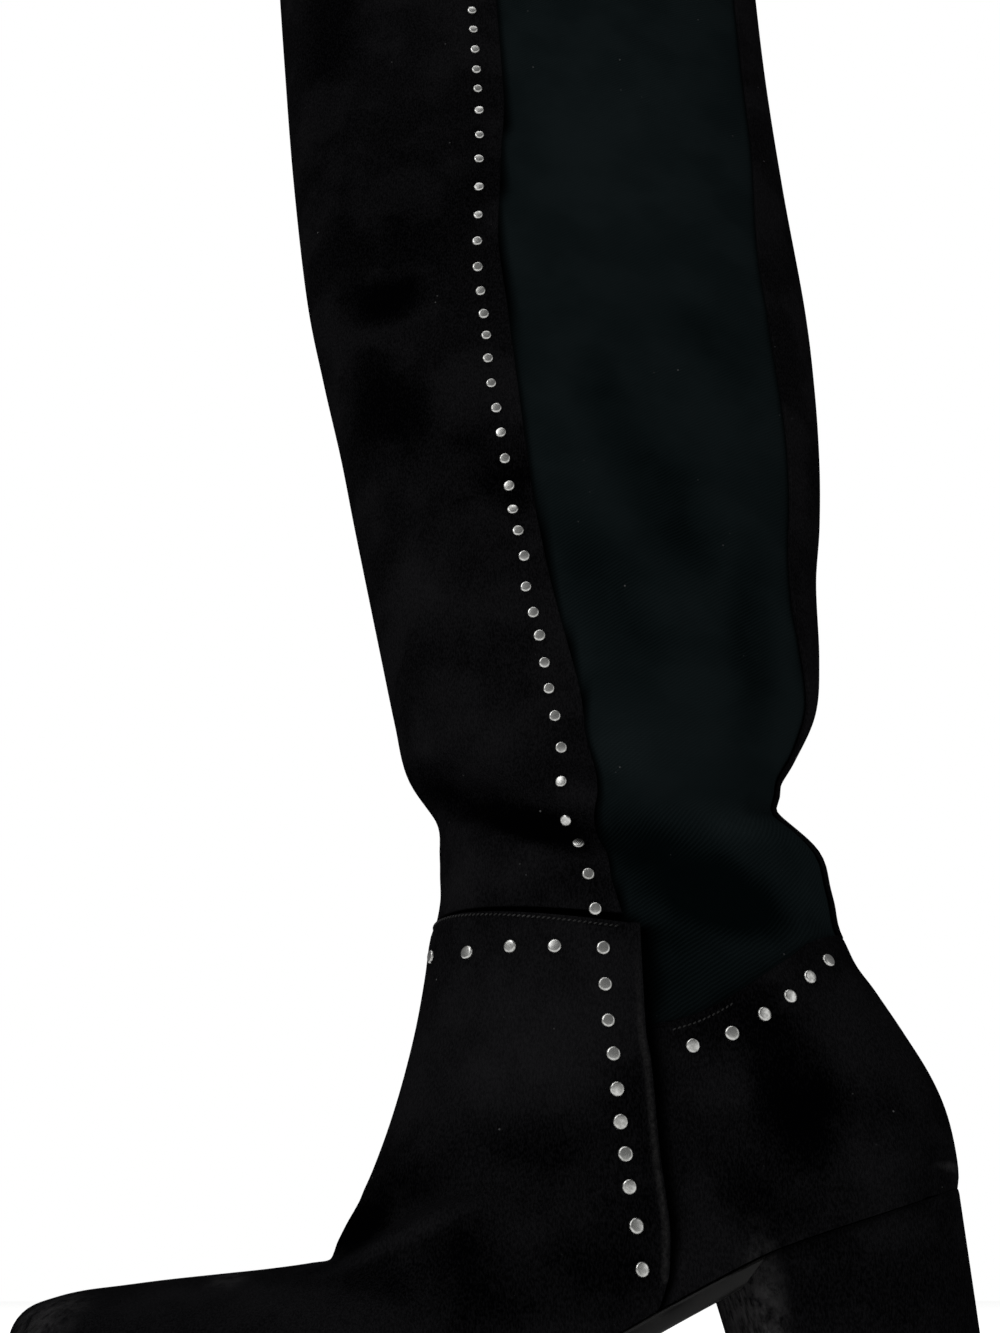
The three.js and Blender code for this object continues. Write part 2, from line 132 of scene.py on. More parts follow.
def makeStudio():
    deselect()
    bpy.ops.object.camera_add(location=[v * mm for v in view["place"]])
    camera = bpy.context.object
    camera.rotation_euler = (math.radians(90 + view["pitch"]), 0, math.radians(-view["azimuth"]))
    camera.data.lens = view["lens"]
    camera.data.sensor_width = 36
    camera.data.clip_start = 0.01
    bpy.context.scene.camera = camera
    bpy.context.scene.view_settings.view_transform = "Standard"

    world = bpy.data.worlds.new("studioWorld")
    bpy.context.scene.world = world
    world.use_nodes = True
    tree = world.node_tree
    tree.nodes.clear()
    seen, soft = [
        addNode(tree, "Background", {"Color": (1, 1, 1), "Strength": studio[label]}).outputs[0]
        for label in ("backdrop", "ambient")
    ]
    path = addNode(tree, "LightPath", {}).outputs["Is Camera Ray"]
    mixed = addNode(tree, "MixShader", {0: path, 1: soft, 2: seen}).outputs[0]
    addNode(tree, "OutputWorld", {"Surface": mixed})

    for name, (place, target, width, height, power) in softboxes.items():
        bpy.ops.object.light_add(type="AREA", location=place)
        light = bpy.context.object
        light.name = name
        light.data.shape = "RECTANGLE"
        light.data.size, light.data.size_y = width, height
        light.data.energy = power
        away = np.array(place) - np.array(target)
        turn = math.atan2(away[0], -away[1])
        drop = math.atan2(math.hypot(away[0], away[1]), away[2])
        light.rotation_euler = (drop, 0, turn)

    bpy.ops.mesh.primitive_plane_add(size=studio["floorWidth"], location=(0, 0, 0))
    floor = bpy.context.object
    floor.name = "floor"
    material, tree, shader = newMaterial("paleFloor", Roughness=0.8)
    setInputs(tree, shader, {
        "Base Color": studio["floor"],
        "Emission Color": (1, 1, 1),
        "Emission Strength": studio["floorGlow"],
    })
    floor.data.materials.append(material)
    floor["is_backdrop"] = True


makeStudio()
print("studio ready")

# the last: one surface that every layer of the upper follows
last = {
    "footLength": 231.8,
    "ballWidth": 84.0,
    "toeLength": 38.0,  # the stretch over which the plan outline closes round the toe
    "toeBend": 2.2,  # 2 is an ellipse, more is squarer
    "toeShift": 4.0,  # how far the tip is drawn to the inner side
    "shiftShare": 0.4,  # over this share of the foot's length
    "instepHeight": 118.0,
    "shaftHeight": 500.0,
    "calfDepth": 177.0,
    "ankleDepth": 92.3,
    "ankleSet": 38.3,
    "legWidth": 62.0,
    "legBend": 2.1,
    "featherShare": 0.07,  # how far up the instep the sole's own width still holds
    "seatHeight": 57.5,
    "soleThickness": 4.5,
    "toeSpring": 8.0,
    "trimDepth": 3.0,
    "centre": (0.6, 0.148),  # the last's own middle, from the middle of the whole boot
}
layers = {"wall": 1.6, "gap": 0.4, "panel": 1.2}
panelTop = layers["gap"] + layers["panel"]
heelBack = last["footLength"] / 2
toeTip = -heelBack


def through(keys, values, even=False):
    # a smooth curve through the rows; even=True also rounds the peaks a little
    keys, values = np.asarray(keys, float), np.asarray(values, float)
    if keys[0] > keys[-1]:
        keys, values = keys[::-1], values[::-1]
    step, rise = np.diff(keys), np.diff(values) / np.diff(keys)
    slope = np.zeros(len(keys))
    slope[0], slope[-1] = rise[0], rise[-1]
    a, b = rise[:-1], rise[1:]
    if even:
        slope[1:-1] = (a * step[1:] + b * step[:-1]) / (step[1:] + step[:-1])
    else:
        same = a * b > 0
        both = np.where(same, a + b, 1)
        slope[1:-1] = np.where(same, 2 * a * b / both, 0)

    def at(place):
        p = np.clip(place, keys[0], keys[-1])
        i = np.clip(np.searchsorted(keys, p, side="right") - 1, 0, len(step) - 1)
        t = (p - keys[i]) / step[i]
        u = 1 - t
        hill = values[i] * (1 + 2 * t) * u * u + values[i + 1] * t * t * (3 - 2 * t)
        return hill + step[i] * (slope[i] * t * u * u - slope[i + 1] * t * t * u)

    return at


def curveOf(rows):
    return through(*np.array(rows).T)


# where the upper meets the sole and the heel: along the foot from the heel's back, seat, spring
soleRows = np.array([
    (-0.1, 1.13, 0), (0.0, 0.995, 0), (0.11, 0.858, 0), (0.215, 0.72, 0), (0.245, 0.675, 0),
    (0.3, 0.567, 0), (0.35, 0.465, 0), (0.39, 0.38, 0), (0.435, 0.285, 0), (0.48, 0.195, 0),
    (0.53, 0.11, 0), (0.58, 0.048, 0), (0.635, 0.01, 0), (0.685, 0, 0), (0.82, 0, 0),
    (0.885, 0, 0.1), (0.935, 0, 0.36), (0.975, 0, 0.72), (1.0, 0, 1), (1.06, 0, 1.9),
])
soleTop = through(
    heelBack - soleRows[:, 0] * last["footLength"],
    last["soleThickness"] + soleRows[:, 1] * (last["seatHeight"] - last["soleThickness"])
    + soleRows[:, 2] * last["toeSpring"],
)

# half widths of the foot at the sole, outer and inner side, as shares of the ball's width
planRows = np.array([
    (0.0, 0.338, 0.338), (0.1, 0.341, 0.341), (0.2, 0.343, 0.338), (0.3, 0.343, 0.318),
    (0.4, 0.373, 0.332), (0.53, 0.445, 0.415), (0.64, 0.494, 0.482), (0.72, 0.509, 0.496),
    (0.81, 0.494, 0.482), (0.9, 0.452, 0.452), (1.0, 0.4, 0.42),
])
planOuter = through(planRows[:, 0], planRows[:, 1])
planInner = through(planRows[:, 0], planRows[:, 2])


def planHalf(x, side, reach=0.0):
    along = (heelBack - x) / last["footLength"]
    share = np.where(side < 0, planOuter(along), planInner(along))
    toToe = np.clip((toeTip + last["toeLength"] - x) / (last["toeLength"] + reach), 0, 1)
    bend = last["toeBend"]
    return (1 - toToe ** bend) ** (1 / bend) * (share * last["ballWidth"] + reach)


def planShift(x):
    front = last["shiftShare"] * last["footLength"]
    t = np.clip((toeTip + front - x) / front, 0, 1)
    return last["toeShift"] * t * t


# leg sections, collar to ankle: frontRise, backRise, depth, set, half, hold
legRows = np.array([
    (1, 1, 1, 0.57, 0.484, 0.6), (0.83, 0.83, 0.93, 0.55, 0.476, 0.6),
    (0.686, 0.686, 0.88, 0.49, 0.484, 0.6), (0.555, 0.555, 0.82, 0.41, 0.488, 0.6),
    (0.471, 0.471, 0.745, 0.41, 0.492, 0.6), (0.398, 0.398, 0.655, 0.43, 0.5, 0.6),
    (0.338, 0.338, 0.57, 0.49, 0.506, 0.6), (0.285, 0.285, 0.48, 0.555, 0.506, 0.6),
    (0.217, 0.22, 0.4, 0.6, 0.5, 0.6), (0.165, 0.177, 0.31, 0.685, 0.49, 0.6),
    (0.125, 0.142, 0.19, 0.85, 0.48, 0.6), (0.09, 0.122, 0.03, 0.97, 0.468, 0.6),
    (0.063, 0.109, 0, 1, 0.463, 0.6), (0.048, 0.092, 0.025, 0.94, 0.478, 0.6),
    (0.03, 0.062, 0.1, 0.77, 0.505, 0.58), (0.012, 0.03, 0.13, 0.74, 0.515, 0.57),
])
# foot sections: front, frontRise, back, backRise, half, hold, round, bend
# a rise of -1 is an end just under the sole line, as all have after the first backRows of them
backRows = 7
footRows = np.array([
    (0.577, 1, 0.103, 0.958, 0.52, 0.26, 0.44, 2),
    (0.586, 0.915, 0.075, 0.877, 0.52, 0.26, 0.43, 2.05),
    (0.594, 0.805, 0.047, 0.792, 0.516, 0.25, 0.42, 2.1),
    (0.606, 0.695, 0.022, 0.7, 0.508, 0.23, 0.41, 2.1),
    (0.62, 0.595, 0.009, 0.62, 0.5, 0.21, 0.4, 2.15),
    (0.635, 0.51, 0.003, 0.53, 0.49, 0.19, 0.4, 2.2),
    (0.645, 0.465, 0.001, 0.48, 0.48, 0.17, 0.42, 2.2), (0.649, 0.446, 0.026, -1, 0, 0, 0.43, 2.2),
    (0.654, 0.428, 0.064, -1, 0, 0, 0.45, 2.2), (0.663, 0.398, 0.157, -1, 0, 0, 0.5, 2.2),
    (0.671, 0.367, 0.26, -1, 0, 0, 0.57, 2.2), (0.679, 0.327, 0.37, -1, 0, 0, 0.65, 2.2),
    (0.702, 0.317, 0.481, -1, 0, 0, 0.72, 2.25), (0.745, 0.306, 0.583, -1, 0, 0, 0.78, 2.3),
    (0.796, 0.296, 0.685, -1, 0, 0, 0.82, 2.3), (0.847, 0.286, 0.779, -1, 0, 0, 0.82, 2.3),
    (0.894, 0.275, 0.855, -1, 0, 0, 0.8, 2.3), (0.932, 0.266, 0.915, -1, 0, 0, 0.75, 2.3),
    (0.96, 0.254, 0.95, -1, 0, 0, 0.7, 2.2), (0.986, 0.236, 0.973, -1, 0, 0, 0.65, 2.1),
    (1.0, 0.203, 0.987, -1, 0, 0, 0.6, 2), (1.003, 0.155, 0.996, -1, 0, 0, 0.6, 2),
    (1.0, -1, 1.0, -1, 0, 0, 0.6, 2),
])
# how far the front and the back line stand off the rows above, towards the heel, by height
frontLean = curveOf([
    (500, -0.6), (420, 0), (362, 0), (350, -0.7), (339, -1.5), (329, -0.7), (300, -0.1), (268, -0.2),
    (256, 1.9), (246, -0.4), (234, -1.5), (220, -0.3), (160, -0.1), (146, -0.8), (128, -0.7), (119, 0),
    (112, 1.1), (90, 0.8), (60, 0.6), (42, 0.9), (36, 0.3), (30, 0), (0, 0),
])
backLean = curveOf([
    (500, -0.7), (339, -1), (300, -0.6), (277, -0.9), (248, -0.7), (234, -1.2), (220, -1.2),
    (194, -0.6), (182, 0), (170, -0.6), (160, -0.8), (154, -3.4), (148, -6), (142, -0.1),
    (137, 4.2), (133, 3.8), (129, 0.6), (125, -3.5), (120, -6.4), (115, -1), (110, 1.9), (102, -0.5),
    (91, -0.8), (71, -0.8), (62, -1.3), (57, -2.6), (50, -2.8), (0, -2.8),
])


def lastCurves():
    shaft = last["shaftHeight"] - last["instepHeight"]
    depth = last["ankleDepth"] + legRows[:, 2] * (last["calfDepth"] - last["ankleDepth"])
    legBack = heelBack - legRows[:, 3] * last["ankleSet"]
    footX = heelBack - footRows[:, [0, 2]] * last["footLength"]
    under = soleTop(footX) - last["trimDepth"]
    footZ = np.where(footRows[:, [1, 3]] < 0, under, footRows[:, [1, 3]] * last["instepHeight"])
    legZ = last["instepHeight"] + legRows[:, :2] * shaft
    ends = {
        "frontX": np.concatenate([legBack - depth, footX[:, 0]]),
        "frontZ": np.concatenate([legZ[:, 0], footZ[:, 0]]),
        "backX": np.concatenate([legBack, footX[:, 1]]),
        "backZ": np.concatenate([legZ[:, 1], footZ[:, 1]]),
        "round": np.concatenate([1 - legRows[:, 5], footRows[:, 6]]),
        "bend": np.concatenate([np.full(len(legRows), 2.0), footRows[:, 7]]),
    }
    ends["frontX"] += frontLean(ends["frontZ"])
    back = len(legRows) + backRows
    ends["backX"][:back] += backLean(ends["backZ"][:back])
    count = len(ends["frontX"])
    curves = {name: through(range(count), rows, even=name[-1] in "XZ") for name, rows in ends.items()}
    half = np.concatenate([legRows[:, 4], footRows[:backRows, 4]]) * last["legWidth"]
    hold = np.concatenate([legRows[:, 5] * depth, footRows[:backRows, 5] * last["footLength"]])
    for name, rows in {"backLine": ends["backX"][:back], "half": half, "hold": hold}.items():
        curves[name] = through(ends["backZ"][:back], rows, even=name == "backLine")
    return curves


curves = lastCurves()
vampTop = len(legRows)
tipRow = vampTop + len(footRows) - 1
lastBackRow = vampTop + backRows - 1


def closing(distance, length, power):
    t = np.clip(1 - distance / length, 0, 1)
    return (1 - t ** power) ** (1 / power)


# A point of the last. place runs down the sections from 0 at the collar; turn runs round one of
# them, 0 at the front, 1 at the back on the inner side and -1 at the back on the outer side.
def skin(place, turn):
    place, turn = np.broadcast_arrays(np.asarray(place, float), np.asarray(turn, float))
    turn = (turn + 1) % 2 - 1
    side = np.where(turn < 0, -1.0, 1.0)
    share = (1 - np.cos(np.pi * np.abs(turn))) / 2
    endX, endZ = curves["backX"](place), curves["backZ"](place)
    x = curves["frontX"](place) * (1 - share) + endX * share
    z = curves["frontZ"](place) * (1 - share) + endZ * share
    miss = (curves["backLine"](endZ) - endX) * np.clip(lastBackRow + 1 - place, 0, 1)
    behind = curves["backLine"](z) - x - miss * share ** 4
    feather = soleTop(x) + last["featherShare"] * last["instepHeight"]
    rise = np.clip((z - feather) / np.maximum(1, last["instepHeight"] - feather), 0, 1)
    blend = rise * rise * (3 - 2 * rise)
    width = planHalf(x, side) * (1 - blend) + curves["half"](z) * blend
    y = closing(share, curves["round"](place), curves["bend"](place))
    y = y * closing(behind, curves["hold"](z), last["legBend"]) * width
    return np.stack([x, side * y + planShift(x), z], axis=-1)


def unit(v):
    return v / np.maximum(np.linalg.norm(v, axis=-1, keepdims=True), 1e-9)


def outwards(place, turn, point=skin, step=0.004):
    acrossTurn = point(place, turn + step) - point(place, turn - step)
    downPlace = point(place + 2 * step, turn) - point(place - 2 * step, turn)
    return unit(np.cross(acrossTurn, downPlace))


# creases and dents, drawn on the boot's side in X and Z
# depth of the trough, its width, height of the ridge beside it, how far off that is, share that is
# left on the inner side, and the path in order
creases = {
    "ankleFold": (5.0, 5.2, 2.4, 10.5, 0.8, [
        (-24, 161), (-14, 156), (-5, 151), (3, 147), (10, 143), (18, 139), (29, 139), (43, 134),
        (57, 126)]),
    "ankleBack": (2.2, 5.0, 1.2, 9.0, 1.0, [(76, 156), (66, 150), (54, 143), (44, 138)]),
    "ankleLow": (1.2, 5.0, 0.6, 8.0, 0.6, [(20, 134), (34, 127), (47, 120)]),
    "counterTuck": (2.0, 4.0, 0.7, 8.5, 1.0, [(66, 121), (76, 121.5), (85, 121.5), (96, 121)]),
    "vampBreak": (3.0, 3.6, 0.0, 6.0, 0.9, [(-47, 37), (-38, 42), (-31, 46), (-22, 51.5), (-8, 57)]),
    "vampRoll": (-2.2, 2.8, 0.0, 6.0, 0.9, [
        (-50, 34), (-41, 36.8), (-30, 40.8), (-20, 45.8), (-10, 50), (0, 52.5)]),
    "frontKink": (1.2, 6.0, 0.6, 9.0, 0.7, [(-46, 244), (-36, 240), (-24, 233)]),
    "knitUpper": (1.0, 9.0, 0.6, 16.0, 0.8, [(18, 336), (43, 322), (61, 311), (82, 298)]),
    "knitMiddle": (1.1, 8.0, 0.7, 13.0, 0.8, [(36, 262), (43, 247), (50, 234), (58, 218)]),
    "knitLower": (1.0, 7.0, 0.6, 12.0, 0.6, [(12, 226), (20, 214), (30, 205), (41, 192)]),
}
# soft hollows: middle, half sizes along and across, lean in degrees, depth
dents = {
    "shaftOval": ((-36, 305), (11, 6), -8, 1.3),
    "shaftLow": ((-33, 271), (6, 13), -15, 1.2),
    "edgeFold": ((0, 239), (12, 8), -25, 1.5),
    "edgeLow": ((6, 212), (9, 8), -30, 1.1),
    "calfWide": ((-20, 372), (26, 34), 0, 0.9),
    "knitPatch": ((32, 272), (9, 15), -20, 0.9),
    "knitBack": ((66, 205), (10, 26), 8, 1.4),
    "heelPatch": ((82, 84), (10, 15), 12, 1.3),
    "heelLow": ((66, 56), (12, 9), -20, 0.8),
    "vampHollow": ((6, 62), (20, 12), -15, 1.4),
    "toeSide": ((-70, 20), (26, 7), -4, 0.7),
    "instepSide": ((-2, 92), (16, 14), 0, 0.8),
    "ankleBulge": ((68, 145), (11, 8), 10, -1.3),
    "ankleFront": ((-6, 131), (14, 9), 0, -1.2),
}
# how creases and dents fade where the side turns away, and how the inner side's differ
reliefLook = {
    "sideFrom": 0.1,
    "sideOver": 0.55,
    "innerFade": 8,
    "creaseShift": (5, -4),
    "dentShift": (6, -5),
    "dentEase": 0.4,
    "startFade": 0.2,  # shares of a crease's length
    "endFade": 0.25,
    "ridgeReach": 2.2,  # times its distance from the trough
}


def stroke(x, z, path, width, off):
    # the trough's and the ridge's strength near a drawn line, fading at both of its ends
    path = np.array(path, float)
    parts = np.linalg.norm(np.diff(path, axis=0), axis=1)
    total, done = parts.sum(), 0.0
    nearest = np.full(x.shape, 1e9)
    signed, along = np.zeros(x.shape), np.zeros(x.shape)
    for (ax, az), (bx, bz), length in zip(path[:-1], path[1:], parts):
        ux, uz = (bx - ax) / length, (bz - az) / length
        t = np.clip((x - ax) * ux + (z - az) * uz, 0, length)
        dx, dz = x - ax - t * ux, z - az - t * uz
        far = np.hypot(dx, dz)
        closer = far < nearest
        nearest = np.where(closer, far, nearest)
        signed = np.where(closer, dx * -uz + dz * ux, signed)
        along = np.where(closer, (done + t) / total, along)
        done += length
    fade = np.clip(along / reliefLook["startFade"], 0, 1)
    fade = fade * np.clip((1 - along) / reliefLook["endFade"], 0, 1)
    if path[-1, 0] < path[0, 0]:
        signed = -signed
    trough = fade * np.exp(-(nearest / width) ** 2)
    ridge = fade * np.exp(-((signed - off) / width) ** 2)
    return trough, ridge * (nearest < reliefLook["ridgeReach"] * off)


def relief(points, normals):
    x, y, z = points[..., 0], points[..., 1], points[..., 2]
    sideways = (np.abs(normals[..., 1]) - reliefLook["sideFrom"]) / reliefLook["sideOver"]
    sideways = np.clip(sideways, 0, 1)
    inner = np.clip(0.5 + y / reliefLook["innerFade"], 0, 1)
    total = np.zeros(x.shape)
    shiftX, shiftZ = [shift * inner for shift in reliefLook["creaseShift"]]
    for depth, width, high, off, left, path in creases.values():
        trough, ridge = stroke(x - shiftX, z - shiftZ, path, width, off)
        total += (1 + (left - 1) * inner) * (high * ridge - depth * trough)
    shiftX, shiftZ = [shift * inner for shift in reliefLook["dentShift"]]
    for (cx, cz), (long, high), lean, depth in dents.values():
        turn = math.radians(lean)
        dx, dz = x - cx - shiftX, z - cz - shiftZ
        u = (dx * math.cos(turn) + dz * math.sin(turn)) / long
        v = (dz * math.cos(turn) - dx * math.sin(turn)) / high
        total -= depth * (1 - reliefLook["dentEase"] * inner) * np.exp(-(u * u + v * v))
    return total * sideways


# A point of a layer of the dressed boot, lift millimetres outside the knit.
def layer(place, turn, lift=0.0):
    base = skin(place, turn)
    normal = outwards(place, turn)
    return base + normal * (relief(base, normal) + lift)[..., None]


atBack = 0.999999  # a turn just short of the back's middle


def halved(holds, low, high, tries):
    # the end of the stretch from low on which a test holds
    for _ in range(tries):
        middle = (low + high) / 2
        good = holds(middle)
        low, high = np.where(good, middle, low), np.where(good, high, middle)
    return low


def aboveSole(place, turn):
    point = skin(place, turn)
    return point[..., 2] > soleTop(point[..., 0]) + layers["gap"]


def trimTurn(place):
    # the turn at which a section meets the sole line, 1 where it ends at the boot's back
    start = np.zeros(np.shape(place))
    turn = halved(lambda t: aboveSole(place, t * atBack), start, start + 1, 26)
    return np.where(turn > 0.9999, 1.0, turn)


def placeAt(turn, first, end):
    # the place where a line of one turn comes down to the sole line
    return float(halved(lambda place: aboveSole(place, turn), first, end, 30))


seatPlace = placeAt(atBack, vampTop + 4, lastBackRow + 0.9)
tipPlace = placeAt(0.0, tipRow - 1.5, tipRow)


def merged(*parts):
    return np.unique(np.round(np.concatenate(parts), 6))


def spread(first, end, step, stops=()):
    # places between two ends whose sections lie no more than a step apart
    fine = np.linspace(first, end, 1 + int(60 * (end - first)))
    reach = trimTurn(fine)
    far = np.zeros(len(fine) - 1)
    for share in (0.0, 0.45, 0.9999):  # front, side and back
        line = skin(fine, share * reach)
        far = np.maximum(far, np.linalg.norm(np.diff(line, axis=0), axis=1))
    run = np.concatenate([[0], np.cumsum(far)])
    places = np.interp(np.linspace(0, run[-1], 2 + int(run[-1] / step)), run, fine)
    return merged(places, [stop for stop in stops if first < stop < end])


# panel edges, as shares of a section's depth from the front
shaftEdge = curveOf([
    (0, 0.435), (1, 0.428), (1.8, 0.421), (2.4, 0.395), (3.1, 0.368), (3.7, 0.365), (4.2, 0.361),
    (5.3, 0.355), (6.3, 0.358), (7.5, 0.37), (8.7, 0.393), (10, 0.421), (11.2, 0.414),
    (12.3, 0.415), (14.2, 0.396), (15.4, 0.412), (16, 0.425),
])
# the vamp's rear edge as it is drawn in X by height, from its top corner to the sole line
vampRear = curveOf([
    (125, 32.2), (113, 32.3), (90, 32.7), (83, 33.7), (63, 34.9), (52, 36), (45.5, 36.5), (37, 35.9),
    (30, 33.7), (25, 29.5), (22, 25),
])


def drawnShare(place, drawn):
    # the share of a section's depth at which it crosses a line drawn in the side view
    def before(share):
        x = curves["frontX"](place) * (1 - share) + curves["backX"](place) * share
        z = curves["frontZ"](place) * (1 - share) + curves["backZ"](place) * share
        return x < drawn(z)

    start = np.zeros(np.shape(place))
    return halved(before, start, start + 1, 24)


edgePlaces = np.linspace(vampTop, tipRow, 400)
vampEdge = through(edgePlaces, drawnShare(edgePlaces, vampRear))


def frontEdge(place):
    return np.where(np.asarray(place) < vampTop, shaftEdge(place), vampEdge(place))


stripEdge = curveOf([
    (0, 0.943), (1.8, 0.928), (3, 0.893), (3.7, 0.896), (5.2, 0.911), (7.5, 0.92), (8, 0.934),
    (8.7, 0.955), (9.4, 0.978), (10.2, 0.991), (16, 0.991),
])
counterTop = 15.68
counterCorner = 18.3
counterEdge = curveOf([
    (counterTop, 0.96), (16, 0.86), (16.5, 0.785), (17, 0.71), (17.5, 0.63), (18, 0.535),
    (counterCorner, 0.44),
])
seamGap = 0.45


def turnAt(share):
    return np.arccos(1 - 2 * np.clip(share, 0, 1)) / np.pi


def depthAt(place):
    x = curves["backX"](place) - curves["frontX"](place)
    z = curves["backZ"](place) - curves["frontZ"](place)
    return np.hypot(x, z)


# how wide the painted shade in the gap behind the front panels' edge is, in millimetres, down the places
gapWidth = curveOf([
    (0, 0.9), (10, 1.3), (15.4, 1.5), (15.9, 2.4), (16.2, 4.6), (17.6, 4.6), (18.4, 3.4), (21, 2.9),
    (25, 2.6), (27, 1.4), (38, 1.2),
])


def gapShade(place, turn):
    # 1 in the gap behind a panel's rear edge and under the panels, fading over what lies behind
    share = (1 - np.cos(np.pi * np.abs(turn))) / 2
    behind = (share - frontEdge(place)) * depthAt(place)
    return np.exp(-(np.maximum(behind, 0) / gapWidth(place)) ** 3)


# rise, from and to in places, at the front's middle; width and end in turns beside it
topBow = {"rise": 1.05, "from": 12.6, "to": 17.6, "width": 0.36, "end": 0.45}


def bowed(place, turn):
    # the seam between shaft and vamp stands higher at the front's middle
    width = topBow["width"]
    middle = np.exp(-(turn / width) ** 2) - math.exp(-(topBow["end"] / width) ** 2)
    up = np.clip((place - topBow["from"]) / (vampTop - topBow["from"]), 0, 1)
    down = np.clip((topBow["to"] - place) / (topBow["to"] - vampTop), 0, 1)
    near = np.minimum(up, down)
    return place - topBow["rise"] * np.maximum(middle, 0) * near * near * (3 - 2 * near)


# making meshes
def pointsOf(piece):
    points = np.zeros(len(piece.data.vertices) * 3, dtype=np.float32)
    piece.data.vertices.foreach_get("co", points)
    return points.reshape(-1, 3)


def movePoints(piece, points):
    piece.data.vertices.foreach_set("co", points.astype(np.float32).ravel())
    piece.data.update()


def gridPiece(name, points, uv=None, **marks):
    # a grid primitive, one row of points for each section, brought onto its surface; marks are
    # shares from 0 to 1 at its points, which its material reads
    rows, across = points.shape[:2]
    deselect()
    bpy.ops.mesh.primitive_grid_add(x_subdivisions=across - 1, y_subdivisions=rows - 1, size=1)
    piece = bpy.context.object
    piece.name = name
    piece.data.name = name
    movePoints(piece, points * mm)
    if uv is not None:
        corner = np.zeros(len(piece.data.loops), dtype=np.int32)
        piece.data.loops.foreach_get("vertex_index", corner)
        flat = (uv.reshape(-1, 2)[corner] * mm).astype(np.float32)
        piece.data.uv_layers[0].data.foreach_set("uv", flat.ravel())
    for label, shares in marks.items():
        mark = piece.data.attributes.new(label, "FLOAT", "POINT")
        mark.data.foreach_set("value", shares.astype(np.float32).ravel())
    return piece


def lengthsAlong(points, axis):
    step = np.linalg.norm(np.diff(points, axis=axis), axis=-1)
    zero = np.zeros_like(np.take(step, [0], axis=axis))
    return np.concatenate([zero, np.cumsum(step, axis=axis)], axis=axis)


def surfaceUv(points):
    across = lengthsAlong(points, 1)
    middle = points.shape[1] // 2
    across = across - across[:, middle:middle + 1]
    down = lengthsAlong(points, 0)[:, middle:middle + 1] * np.ones(points.shape[1])
    return np.stack([across, -down], axis=-1)


def editAll(piece, action, **values):
    only(piece)
    bpy.ops.object.mode_set(mode="EDIT")
    bpy.ops.mesh.select_all(action="SELECT")
    action(**values)
    bpy.ops.object.mode_set(mode="OBJECT")


def merge(piece, distance=0.02):
    editAll(piece, bpy.ops.mesh.remove_doubles, threshold=distance * mm)


def apply(piece, kind, **values):
    only(piece)
    modifier = piece.modifiers.new(kind.lower(), kind)
    for name, value in values.items():
        setattr(modifier, name, value)
    bpy.ops.object.modifier_apply(modifier=modifier.name)


def thicken(piece, thickness, edge=0.35, **more):
    apply(piece, "SOLIDIFY", thickness=thickness * mm, offset=-1, use_rim=True, **more)
    if edge:
        apply(piece, "BEVEL", width=edge * mm, segments=2, limit_method="ANGLE",
              angle_limit=math.radians(55), use_clamp_overlap=True)


def join(name, pieces):
    deselect()
    for piece in pieces:
        piece.select_set(True)
    bpy.context.view_layer.objects.active = pieces[0]
    bpy.ops.object.join()
    pieces[0].name = name
    pieces[0].data.name = name
    return pieces[0]


def finish(piece, material, slot, *nodes, angle=40):
    only(piece)
    bpy.ops.object.shade_smooth_by_angle(angle=math.radians(angle))
    if material and not piece.data.materials:
        piece.data.materials.append(material)
    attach(piece, "root")
    if nodes:
        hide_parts(*nodes)
    print(piece.name, len(piece.data.polygons), "faces")
    return piece


edgeSteps = np.array([0, 0.45, 0.95, 1.5, 2.1, 2.8, 3.6])  # columns beside a folded edge


def turnsBetween(place, first, end, count, endFold=True):
    # turns from one edge to the other with close columns beside the folded ones
    delta = 0.01
    cap = 0.3 * (end - first)[:, None] * edgeSteps / edgeSteps[-1]
    near = np.linalg.norm(skin(place, first + delta) - skin(place, first), axis=-1) / delta
    opening = first[:, None] + np.minimum(edgeSteps / near[:, None], cap)
    ending = end[:, None]
    if endFold:
        far = np.linalg.norm(skin(place, end) - skin(place, end - delta), axis=-1) / delta
        ending = (end[:, None] - np.minimum(edgeSteps / far[:, None], cap))[:, ::-1]
    a, b = opening[:, -1], ending[:, 0]
    t = np.linspace(0, 1, count + 2)[1:-1]
    between = a[:, None] + (b - a)[:, None] * t
    return np.concatenate([opening, between, ending], axis=1)


def edgeDistance(place, turns, *edges):
    # millimetres along the section from each turn to the nearest edge's turn
    points = skin(place[:, None], turns)
    return np.min([np.linalg.norm(points - skin(place, edge)[:, None], axis=-1) for edge in edges], axis=0)


def topDistance(place, turns, top):
    return np.linalg.norm(skin(place, turns) - skin(top, turns), axis=-1)


# patterns that several materials share
def newGroup(name, label, value):
    # each group takes a place and one number
    group = bpy.data.node_groups.new(name, "ShaderNodeTree")
    group.interface.new_socket(name="Vector", in_out="INPUT", socket_type="NodeSocketVector")
    number = group.interface.new_socket(name=label, in_out="INPUT", socket_type="NodeSocketFloat")
    number.default_value = value
    start = group.nodes.new("NodeGroupInput")
    return group, start.outputs["Vector"], start.outputs[label]


def endGroup(group, **results):
    for label in results:
        group.interface.new_socket(name=label, in_out="OUTPUT", socket_type="NodeSocketFloat")
    setInputs(group, group.nodes.new("NodeGroupOutput"), results)
    return group


def math2(tree, operation, a, b, clamp=False):
    return addNode(tree, "Math", {0: a, 1: b}, operation=operation, use_clamp=clamp).outputs[0]


